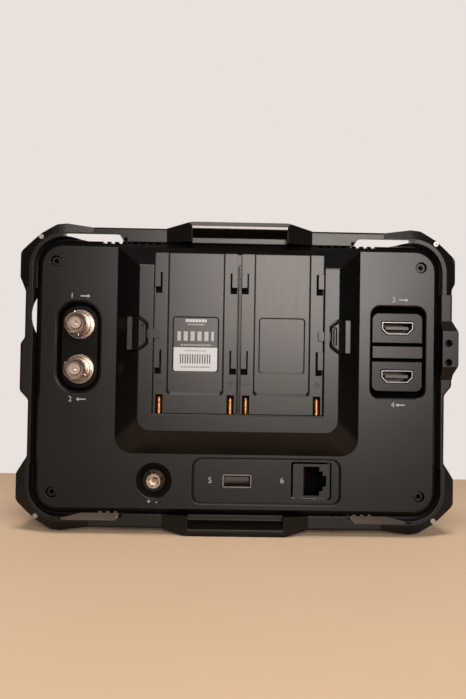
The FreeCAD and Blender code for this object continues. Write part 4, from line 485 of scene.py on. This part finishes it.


# Latch springs: coils of zinc-plated steel wire, each between its latch's foot and a stop on the cover.

wire_r = 0.22 * mm
turns = 5
for side in ("left", "right"):
    spring_low, spring_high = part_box(side + "_latch_spring")
    spring_mid = (spring_low + spring_high) / 2
    spring_length = spring_high.x - spring_low.x
    coil_r = spring_high.z - spring_mid.z - wire_r
    bpy.ops.object.select_all(action="DESELECT")
    bpy.ops.mesh.primitive_circle_add(vertices=10, radius=wire_r, location=(0, 0, coil_r),
                                      rotation=(math.pi / 2, 0, 0))
    coil = bpy.context.object
    bpy.ops.object.transform_apply(location=True, rotation=True, scale=True)
    winding = coil.modifiers.new("winding", "SCREW")
    winding.axis = "X"
    winding.iterations = turns
    winding.screw_offset = (spring_length - 2 * wire_r) / turns
    winding.steps = 24
    winding.render_steps = 24
    bpy.ops.object.modifier_apply(modifier=winding.name)
    bpy.ops.object.mode_set(mode="EDIT")
    bpy.ops.mesh.select_all(action="SELECT")
    bpy.ops.mesh.fill_holes(sides=0)
    bpy.ops.mesh.select_all(action="SELECT")
    bpy.ops.mesh.normals_make_consistent(inside=False)
    bpy.ops.object.mode_set(mode="OBJECT")
    bpy.ops.object.shade_smooth_by_angle(angle=math.radians(50))
    coil.location = (spring_low.x + wire_r, spring_mid.y, spring_mid.z)
    bpy.ops.object.transform_apply(location=True, rotation=True, scale=True)
    coil.name = side + "_coil_spring"
    coil.data.materials.append(zinc_steel)
    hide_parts(side + "_latch_spring")
    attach(coil, "housing")
    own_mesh(coil)


# Power button: an ABS key that presses a switch on the board, moulded in the cover's texture.
# It sits flush with the floor of the lower notch in the guard's left side.

finish_nodes(abs_black, ["power_button"])


# Coaxial sockets and power inlet: turned brass under nickel plating, held by nuts.
# Fine turning rings break up the reflections, and the insulators inside are turned from beige resin.

nickel = bpy.data.materials.new("nickel_plated_brass")
nickel.use_nodes = True
tree = nickel.node_tree
shader = tree.nodes["Principled BSDF"]
shader.inputs["Metallic"].default_value = 1.0
place = add(tree, "ShaderNodeTexCoord")
rings = add(tree, "ShaderNodeTexWave",
            {"bands_direction": "Y", "Scale": 1 / (5 * mm), "Distortion": 0.6, "Detail": 2.0},
            {"Vector": place.outputs["Object"]})
smudge = add(tree, "ShaderNodeTexNoise", {"Scale": 1 / (3 * mm), "Detail": 3.0},
             {"Vector": place.outputs["Object"]})
tone = add(tree, "ShaderNodeMix", {"data_type": "RGBA"}, {"Factor": smudge.outputs["Fac"]})
tone.inputs["A"].default_value = linear("#6f6258")
tone.inputs["B"].default_value = linear("#aea195")
tree.links.new(tone.outputs["Result"], shader.inputs["Base Color"])
dull = add(tree, "ShaderNodeMapRange", {"To Min": 0.2, "To Max": 0.3}, {"Value": rings.outputs["Fac"]})
tree.links.new(dull.outputs["Result"], shader.inputs["Roughness"])
finish_nodes(nickel, ["upper_coax_shell", "lower_coax_shell", "upper_coax_nut", "lower_coax_nut",
                      "power_inlet_body", "power_inlet_nut", "power_inlet_pin", "upper_coax_contact",
                      "lower_coax_contact"])

coax_resin = bpy.data.materials.new("turned_beige_fluoropolymer")
coax_resin.use_nodes = True
tree = coax_resin.node_tree
shader = tree.nodes["Principled BSDF"]
shader.inputs["IOR"].default_value = 1.38
place = add(tree, "ShaderNodeTexCoord")
cloud = add(tree, "ShaderNodeTexNoise", {"Scale": 1 / (1.2 * mm), "Detail": 2.0},
            {"Vector": place.outputs["Object"]})
tone = add(tree, "ShaderNodeMix", {"data_type": "RGBA"}, {"Factor": cloud.outputs["Fac"]})
tone.inputs["A"].default_value = linear("#857367")
tone.inputs["B"].default_value = linear("#a8988c")
tree.links.new(tone.outputs["Result"], shader.inputs["Base Color"])
dull = add(tree, "ShaderNodeMapRange", {"To Min": 0.3, "To Max": 0.42}, {"Value": cloud.outputs["Fac"]})
tree.links.new(dull.outputs["Result"], shader.inputs["Roughness"])
finish_nodes(coax_resin, ["upper_coax_insulator", "lower_coax_insulator"])


# Video and data sockets: folded tin-plated steel shells, each round a black tongue, with a moulded faceplate
# round the video pair. The tongues carry contact strips at a pitch of 1 mm.

finish_nodes(abs_black, ["video_faceplate"])
tin_steel = bpy.data.materials.new("tin_plated_steel")
tin_steel.use_nodes = True
tree = tin_steel.node_tree
shader = tree.nodes["Principled BSDF"]
shader.inputs["Metallic"].default_value = 1.0
place = add(tree, "ShaderNodeTexCoord")
drawn = add(tree, "ShaderNodeTexNoise", {"Scale": 1 / (0.9 * mm), "Detail": 3.0},
            {"Vector": place.outputs["Object"]})
tone = add(tree, "ShaderNodeMix", {"data_type": "RGBA"}, {"Factor": drawn.outputs["Fac"]})
tone.inputs["A"].default_value = linear("#4d4e50")
tone.inputs["B"].default_value = linear("#6f7073")
# Half a millimetre in from the mouth, each shell is painted dark as shade, so only the rims keep the
# plating's tone.
mouth = max(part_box(name)[0].y for name in ("upper_video_shell", "lower_video_shell", "data_socket_shell"))
axes = add(tree, "ShaderNodeSeparateXYZ", {}, {"Vector": place.outputs["Object"]})
inside = add(tree, "ShaderNodeMapRange", {"From Min": mouth + 0.15 * mm, "From Max": mouth + 0.6 * mm},
             {"Value": axes.outputs["Y"]})
inner_shade = add(tree, "ShaderNodeMix", {"data_type": "RGBA"},
              {"Factor": inside.outputs["Result"], "A": tone.outputs["Result"]})
inner_shade.inputs["B"].default_value = linear("#2b2725")
tree.links.new(inner_shade.outputs["Result"], shader.inputs["Base Color"])
dull = add(tree, "ShaderNodeMapRange", {"To Min": 0.25, "To Max": 0.42}, {"Value": drawn.outputs["Fac"]})
tree.links.new(dull.outputs["Result"], shader.inputs["Roughness"])
finish_nodes(tin_steel, ["upper_video_shell", "lower_video_shell", "data_socket_shell"])

tongue_resin = bpy.data.materials.new("contact_tongue_resin")
tongue_resin.use_nodes = True
tree = tongue_resin.node_tree
shader = tree.nodes["Principled BSDF"]
shader.inputs["Roughness"].default_value = 0.35
place = add(tree, "ShaderNodeTexCoord")
axes = add(tree, "ShaderNodeSeparateXYZ", {}, {"Vector": place.outputs["Object"]})
count = add(tree, "ShaderNodeMath", {"operation": "MULTIPLY", 1: 1 / (1.0 * mm)}, {0: axes.outputs["X"]})
step = add(tree, "ShaderNodeMath", {"operation": "FRACT"}, {0: count.outputs["Value"]})
strip = add(tree, "ShaderNodeMath", {"operation": "GREATER_THAN", 1: 0.6}, {0: step.outputs["Value"]})
tone = add(tree, "ShaderNodeMix", {"data_type": "RGBA"}, {"Factor": strip.outputs["Value"]})
tone.inputs["A"].default_value = linear("#0d0c0c")
tone.inputs["B"].default_value = linear("#2a241f")
tree.links.new(tone.outputs["Result"], shader.inputs["Base Color"])
tree.links.new(strip.outputs["Value"], shader.inputs["Metallic"])
finish_nodes(tongue_resin, ["upper_video_tongue", "lower_video_tongue", "data_socket_tongue"])


# Port panel and network jack: a thin ABS panel let into the cover, and a jack moulded in black nylon.
# The jack's smooth nylon has slight ripples that stir its sheen; its mouth loses that sheen as painted shade.

finish_nodes(abs_black, ["port_panel"])
jack_nylon = bpy.data.materials.new("smooth_black_nylon")
jack_nylon.use_nodes = True
tree = jack_nylon.node_tree
shader = tree.nodes["Principled BSDF"]
shader.inputs["IOR"].default_value = 1.53
place = add(tree, "ShaderNodeTexCoord")
axes = add(tree, "ShaderNodeSeparateXYZ", {}, {"Vector": place.outputs["Object"]})
jack_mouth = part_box("network_jack_housing")[0].y
# Painted shade: the sheen fades to nothing inside the jack's mouth.
shade_depth = add(tree, "ShaderNodeMapRange",
           {"From Min": jack_mouth + 0.5 * mm, "From Max": jack_mouth + 2.5 * mm,
            "To Min": 0.22, "To Max": 0.0}, {"Value": axes.outputs["Y"]})
tree.links.new(shade_depth.outputs["Result"], shader.inputs["Specular IOR Level"])
ripple = add(tree, "ShaderNodeTexNoise", {"Scale": 1 / (2.5 * mm), "Detail": 2.0},
             {"Vector": place.outputs["Object"]})
tone = add(tree, "ShaderNodeMix", {"data_type": "RGBA"}, {"Factor": ripple.outputs["Fac"]})
tone.inputs["A"].default_value = linear("#050505")
tone.inputs["B"].default_value = linear("#0b0a0a")
tree.links.new(tone.outputs["Result"], shader.inputs["Base Color"])
dull = add(tree, "ShaderNodeMapRange", {"To Min": 0.3, "To Max": 0.4}, {"Value": ripple.outputs["Fac"]})
tree.links.new(dull.outputs["Result"], shader.inputs["Roughness"])
finish_nodes(jack_nylon, ["network_jack_housing"])


# Guard frame: a cast aluminium ring under satin black powder coat, clamped between cover and bezel.
# The coat has a fine orange peel; its edges are painted paler in patches as a highlight, and the top bar's
# bead is painted pale as a highlight.

powder_coat = bpy.data.materials.new("satin_powder_coat")
powder_coat.use_nodes = True
tree = powder_coat.node_tree
shader = tree.nodes["Principled BSDF"]
shader.inputs["IOR"].default_value = 1.52
shader.inputs["Specular IOR Level"].default_value = 0.2
place = add(tree, "ShaderNodeTexCoord")
# Powder coat peel is about 0.4 mm; it is drawn at 0.7 mm so that it shows.
peel = add(tree, "ShaderNodeTexNoise", {"Scale": 1 / (0.7 * mm), "Detail": 2.0},
           {"Vector": place.outputs["Object"]})
cloud = add(tree, "ShaderNodeTexNoise", {"Scale": 1 / (25 * mm), "Detail": 2.0},
            {"Vector": place.outputs["Object"]})
soft_edge = add(tree, "ShaderNodeBevel", {"samples": 4, "Radius": 0.5 * mm})
# Painted highlight: the coat is paler in patches along its edges.
flat = add(tree, "ShaderNodeNewGeometry")
match = add(tree, "ShaderNodeVectorMath", {"operation": "DOT_PRODUCT"},
            {0: soft_edge.outputs["Normal"], 1: flat.outputs["Normal"]})
edge_highlight_mask = add(tree, "ShaderNodeMapRange", {"From Min": 0.97, "From Max": 0.8},
             {"Value": match.outputs["Value"]})
patchy_edge_highlight = add(tree, "ShaderNodeMath", {"operation": "MULTIPLY"},
             {0: edge_highlight_mask.outputs["Result"], 1: cloud.outputs["Fac"]})
coat = add(tree, "ShaderNodeMix", {"data_type": "RGBA"}, {"Factor": peel.outputs["Fac"]})
coat.inputs["A"].default_value = linear("#0a0908")
coat.inputs["B"].default_value = linear("#12100e")
coat_with_edge_highlight = add(tree, "ShaderNodeMix", {"data_type": "RGBA"},
           {"Factor": patchy_edge_highlight.outputs["Value"], "A": coat.outputs["Result"]})
coat_with_edge_highlight.inputs["B"].default_value = linear("#2e2a28")
# Painted highlight: the top bar's bead is coloured pale grey.
guard_low, guard_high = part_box("guard_frame")
bead_below = 3.0 * mm
axes = add(tree, "ShaderNodeSeparateXYZ", {}, {"Vector": place.outputs["Object"]})
proud = add(tree, "ShaderNodeMath", {"operation": "LESS_THAN", 1: guard_low.y + 0.03 * mm},
            {0: axes.outputs["Y"]})
upper = add(tree, "ShaderNodeMath", {"operation": "GREATER_THAN", 1: guard_high.z - bead_below},
            {0: axes.outputs["Z"]})
bead = add(tree, "ShaderNodeMath", {"operation": "MULTIPLY"},
           {0: proud.outputs["Value"], 1: upper.outputs["Value"]})
bead_highlight = add(tree, "ShaderNodeMix", {"data_type": "RGBA"},
           {"Factor": bead.outputs["Value"], "A": coat_with_edge_highlight.outputs["Result"]})
bead_highlight.inputs["B"].default_value = linear("#a3a2a2")
tree.links.new(bead_highlight.outputs["Result"], shader.inputs["Base Color"])
dull = add(tree, "ShaderNodeMapRange", {"To Min": 0.27, "To Max": 0.33}, {"Value": cloud.outputs["Fac"]})
tree.links.new(dull.outputs["Result"], shader.inputs["Roughness"])
texture = add(tree, "ShaderNodeBump", {"Strength": 0.2, "Distance": 0.03 * mm},
              {"Height": peel.outputs["Fac"], "Normal": soft_edge.outputs["Normal"]})
tree.links.new(texture.outputs["Normal"], shader.inputs["Normal"])
finish_nodes(powder_coat, ["guard_frame"])


# Corner screws: small bright stainless screws set into the guard's corners.
# Their worn heads catch the light as pale dots.

stainless = bpy.data.materials.new("worn_stainless")
stainless.use_nodes = True
tree = stainless.node_tree
shader = tree.nodes["Principled BSDF"]
shader.inputs["Metallic"].default_value = 1.0
place = add(tree, "ShaderNodeTexCoord")
buff = add(tree, "ShaderNodeTexNoise", {"Scale": 1 / (0.5 * mm), "Detail": 3.0},
           {"Vector": place.outputs["Object"]})
tone = add(tree, "ShaderNodeMix", {"data_type": "RGBA"}, {"Factor": buff.outputs["Fac"]})
tone.inputs["A"].default_value = linear("#6f6c68")
tone.inputs["B"].default_value = linear("#918d88")
tree.links.new(tone.outputs["Result"], shader.inputs["Base Color"])
dull = add(tree, "ShaderNodeMapRange", {"To Min": 0.3, "To Max": 0.45}, {"Value": buff.outputs["Fac"]})
tree.links.new(dull.outputs["Result"], shader.inputs["Roughness"])
finish_nodes(stainless, ["corner_screws"])


# Printed marks: pad-printed white ink on the cover and the port panel, only numbers, signs and arrows.
# The ink lies a few hundredths of a millimetre thick and is slightly uneven.

ink_white = bpy.data.materials.new("pad_printed_white_ink")
ink_white.use_nodes = True
tree = ink_white.node_tree
shader = tree.nodes["Principled BSDF"]
shader.inputs["Roughness"].default_value = 0.6
place = add(tree, "ShaderNodeTexCoord")
thin = add(tree, "ShaderNodeTexNoise", {"Scale": 1 / (0.4 * mm), "Detail": 2.0},
           {"Vector": place.outputs["Object"]})
tone = add(tree, "ShaderNodeMix", {"data_type": "RGBA"}, {"Factor": thin.outputs["Fac"]})
tone.inputs["A"].default_value = linear("#85878a")
tone.inputs["B"].default_value = linear("#a4a7aa")
tree.links.new(tone.outputs["Result"], shader.inputs["Base Color"])

ink_thick = 0.05 * mm
bar_wide = 0.5 * mm
head_long = 1.1 * mm
head_share = 3.6
tip_share = 0.05
# A capital's share of the font's own size.
capital_share = 0.7
# Marks are placed from mid-height, just proud of the cover's face or the port panel.
middle_z = (guard_low.z + guard_high.z) / 2
face_y = -9.75 * mm
panel_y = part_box("port_panel")[0].y


def settle_ink(mark, name):
    """Fixes a mark's place in its mesh, inks it and lets it ride on the housing."""
    bpy.ops.object.transform_apply(location=True, rotation=True, scale=True)
    mark.name = name
    mark.data.materials.clear()
    mark.data.materials.append(ink_white)
    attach(mark, "housing")


def print_figure(name, figure, x, z, y, height):
    """Characters printed flat on the rear at y, centred on x and z; all but y in millimetres."""
    bpy.ops.object.select_all(action="DESELECT")
    bpy.ops.object.text_add(location=(x * mm, y, middle_z + z * mm), rotation=(math.pi / 2, 0, 0))
    mark = bpy.context.object
    mark.data.body = figure
    mark.data.size = height * mm / capital_share
    mark.data.align_x = "CENTER"
    mark.data.align_y = "CENTER"
    mark.data.extrude = ink_thick / 2
    bpy.ops.object.convert(target="MESH")
    settle_ink(mark, name)


def print_arrow(name, x, z, y, way, length):
    """Arrow along X: a bar with a pointed head, way +1 right or -1 left; x, z and length in mm."""
    bpy.ops.object.select_all(action="DESELECT")
    bpy.ops.mesh.primitive_cube_add(size=1, location=(x * mm, y, middle_z + z * mm),
                                    scale=(length * mm, ink_thick, bar_wide))
    mark = bpy.context.object
    bpy.ops.object.transform_apply(location=True, rotation=True, scale=True)
    bpy.ops.object.mode_set(mode="EDIT")
    bpy.ops.mesh.select_all(action="DESELECT")
    bpy.ops.object.mode_set(mode="OBJECT")
    for face in mark.data.polygons:
        face.select = face.normal.x * way > 0.9
    bpy.ops.object.mode_set(mode="EDIT")
    bpy.ops.mesh.extrude_region_move()
    bpy.ops.transform.resize(value=(1, 1, head_share))
    bpy.ops.mesh.extrude_region_move(TRANSFORM_OT_translate={"value": (way * head_long, 0, 0)})
    bpy.ops.transform.resize(value=(1, 1, tip_share))
    bpy.ops.object.mode_set(mode="OBJECT")
    settle_ink(mark, name)


print_figure("mark_coax_in", "1", -76.5, 36.9, face_y, 2.4)
print_arrow("mark_coax_in_arrow", -71.0, 36.9, face_y, 1, 3.2)
print_figure("mark_coax_out", "2", -76.5, -10.4, face_y, 2.4)
print_arrow("mark_coax_out_arrow", -71.0, -10.4, face_y, -1, 3.2)
print_figure("mark_video_in", "3", 71.6, 37.7, face_y, 2.4)
print_arrow("mark_video_in_arrow", 75.6, 37.7, face_y, 1, 3.0)
print_figure("mark_video_out", "4", 71.6, -10.8, face_y, 2.4)
print_arrow("mark_video_out_arrow", 75.6, -10.8, face_y, -1, 3.0)
print_figure("mark_data", "5", -11.9, -46.6, panel_y, 2.6)
print_figure("mark_network", "6", 21.1, -46.3, panel_y, 2.6)
print_figure("mark_inlet", "+  -", -38.2, -56.6, face_y, 2.4)


# Floor: a plain pale table top that carries the shadow, with its back edge where the photo has it.
# A faint tone variation keeps it from looking flat.

bpy.ops.object.select_all(action="DESELECT")
floor_size = 1.0
back_edge_y = 0.21
bpy.ops.mesh.primitive_plane_add(size=floor_size, location=(0, back_edge_y - floor_size / 2, 0))
floor = bpy.context.object
floor.name = "floor"
bpy.ops.object.transform_apply(location=True, rotation=True, scale=True)
pale_board = bpy.data.materials.new("pale_matt_board")
pale_board.use_nodes = True
tree = pale_board.node_tree
shader = tree.nodes["Principled BSDF"]
shader.inputs["Roughness"].default_value = 0.7
place = add(tree, "ShaderNodeTexCoord")
cloud = add(tree, "ShaderNodeTexNoise", {"Scale": 1 / (120 * mm), "Detail": 3.0},
            {"Vector": place.outputs["Object"]})
tone = add(tree, "ShaderNodeMix", {"data_type": "RGBA"}, {"Factor": cloud.outputs["Fac"]})
tone.inputs["A"].default_value = linear("#e4c8a6")
tone.inputs["B"].default_value = linear("#eccfb0")
tree.links.new(tone.outputs["Result"], shader.inputs["Base Color"])
floor.data.materials.append(pale_board)


# Light: a dim room with a pale wall behind the object, a soft lamp just right of the camera and one overhead.
# The camera, metal and glass see the wall at its own colour; it adds little light to the object.

world = bpy.data.worlds.new("pale_room")
bpy.context.scene.world = world
world.use_nodes = True
tree = world.node_tree
dim_room = tree.nodes["Background"]
dim_room.inputs["Color"].default_value = linear("#e6ddd6")
dim_room.inputs["Strength"].default_value = 0.08
wall = add(tree, "ShaderNodeBackground", {"Strength": 1.0})
wall.inputs["Color"].default_value = linear("#eae1dc")
ray = add(tree, "ShaderNodeLightPath")
way = add(tree, "ShaderNodeTexCoord")
axes = add(tree, "ShaderNodeSeparateXYZ", {}, {"Vector": way.outputs["Generated"]})
behind = add(tree, "ShaderNodeMapRange", {"From Min": 0.5, "From Max": 0.9}, {"Value": axes.outputs["Y"]})
mirrored = add(tree, "ShaderNodeMath", {"operation": "MAXIMUM"},
               {0: ray.outputs["Is Glossy Ray"], 1: ray.outputs["Is Transmission Ray"]})
reflected = add(tree, "ShaderNodeMath", {"operation": "MULTIPLY"},
                {0: mirrored.outputs["Value"], 1: behind.outputs["Result"]})
shown = add(tree, "ShaderNodeMath", {"operation": "MAXIMUM"},
            {0: ray.outputs["Is Camera Ray"], 1: reflected.outputs["Value"]})
seen = add(tree, "ShaderNodeMixShader", {}, {0: shown.outputs["Value"], 1: dim_room.outputs["Background"],
                                             2: wall.outputs["Background"]})
tree.links.new(seen.outputs["Shader"], tree.nodes["World Output"].inputs["Surface"])


def soft_lamp(name, place, aim, size, power):
    """Square warm lamp at a place, turned to shine at its aim."""
    lamp = bpy.data.lights.new(name, "AREA")
    lamp.size = size
    lamp.energy = power
    lamp.color = linear("#fff4ec")[:3]
    holder = bpy.data.objects.new(name, lamp)
    bpy.context.collection.objects.link(holder)
    holder.location = place
    away = [a - b for a, b in zip(aim, place)]
    length = math.sqrt(sum(a * a for a in away))
    holder.rotation_euler = (math.acos(-away[2] / length), 0, math.atan2(-away[0], away[1]))


soft_lamp("key_lamp", place=(0.15, -1.2, 0.31), aim=(0, 0, 0.07), size=0.42, power=15)
soft_lamp("overhead_lamp", place=(0.0, -0.6, 1.55), aim=(0, 0, 0), size=0.6, power=15)


# Camera: where the photo was taken from, a little left of the middle and just above mid-height.
# Its lens gives the focal length of 830 pixels to which the photo's perspective was fitted.

eye = bpy.data.cameras.new("camera")
eye.sensor_width = 36
eye.lens = 42.75
eye.clip_start = 0.01
holder = bpy.data.objects.new("camera", eye)
bpy.context.collection.objects.link(holder)
place_mm = (-9.895, -390.82, 76.04)
turn_degrees = (91.4676, -0.9562, -1.1565)
holder.location = [part * mm for part in place_mm]
holder.rotation_euler = [math.radians(angle) for angle in turn_degrees]
bpy.context.scene.camera = holder
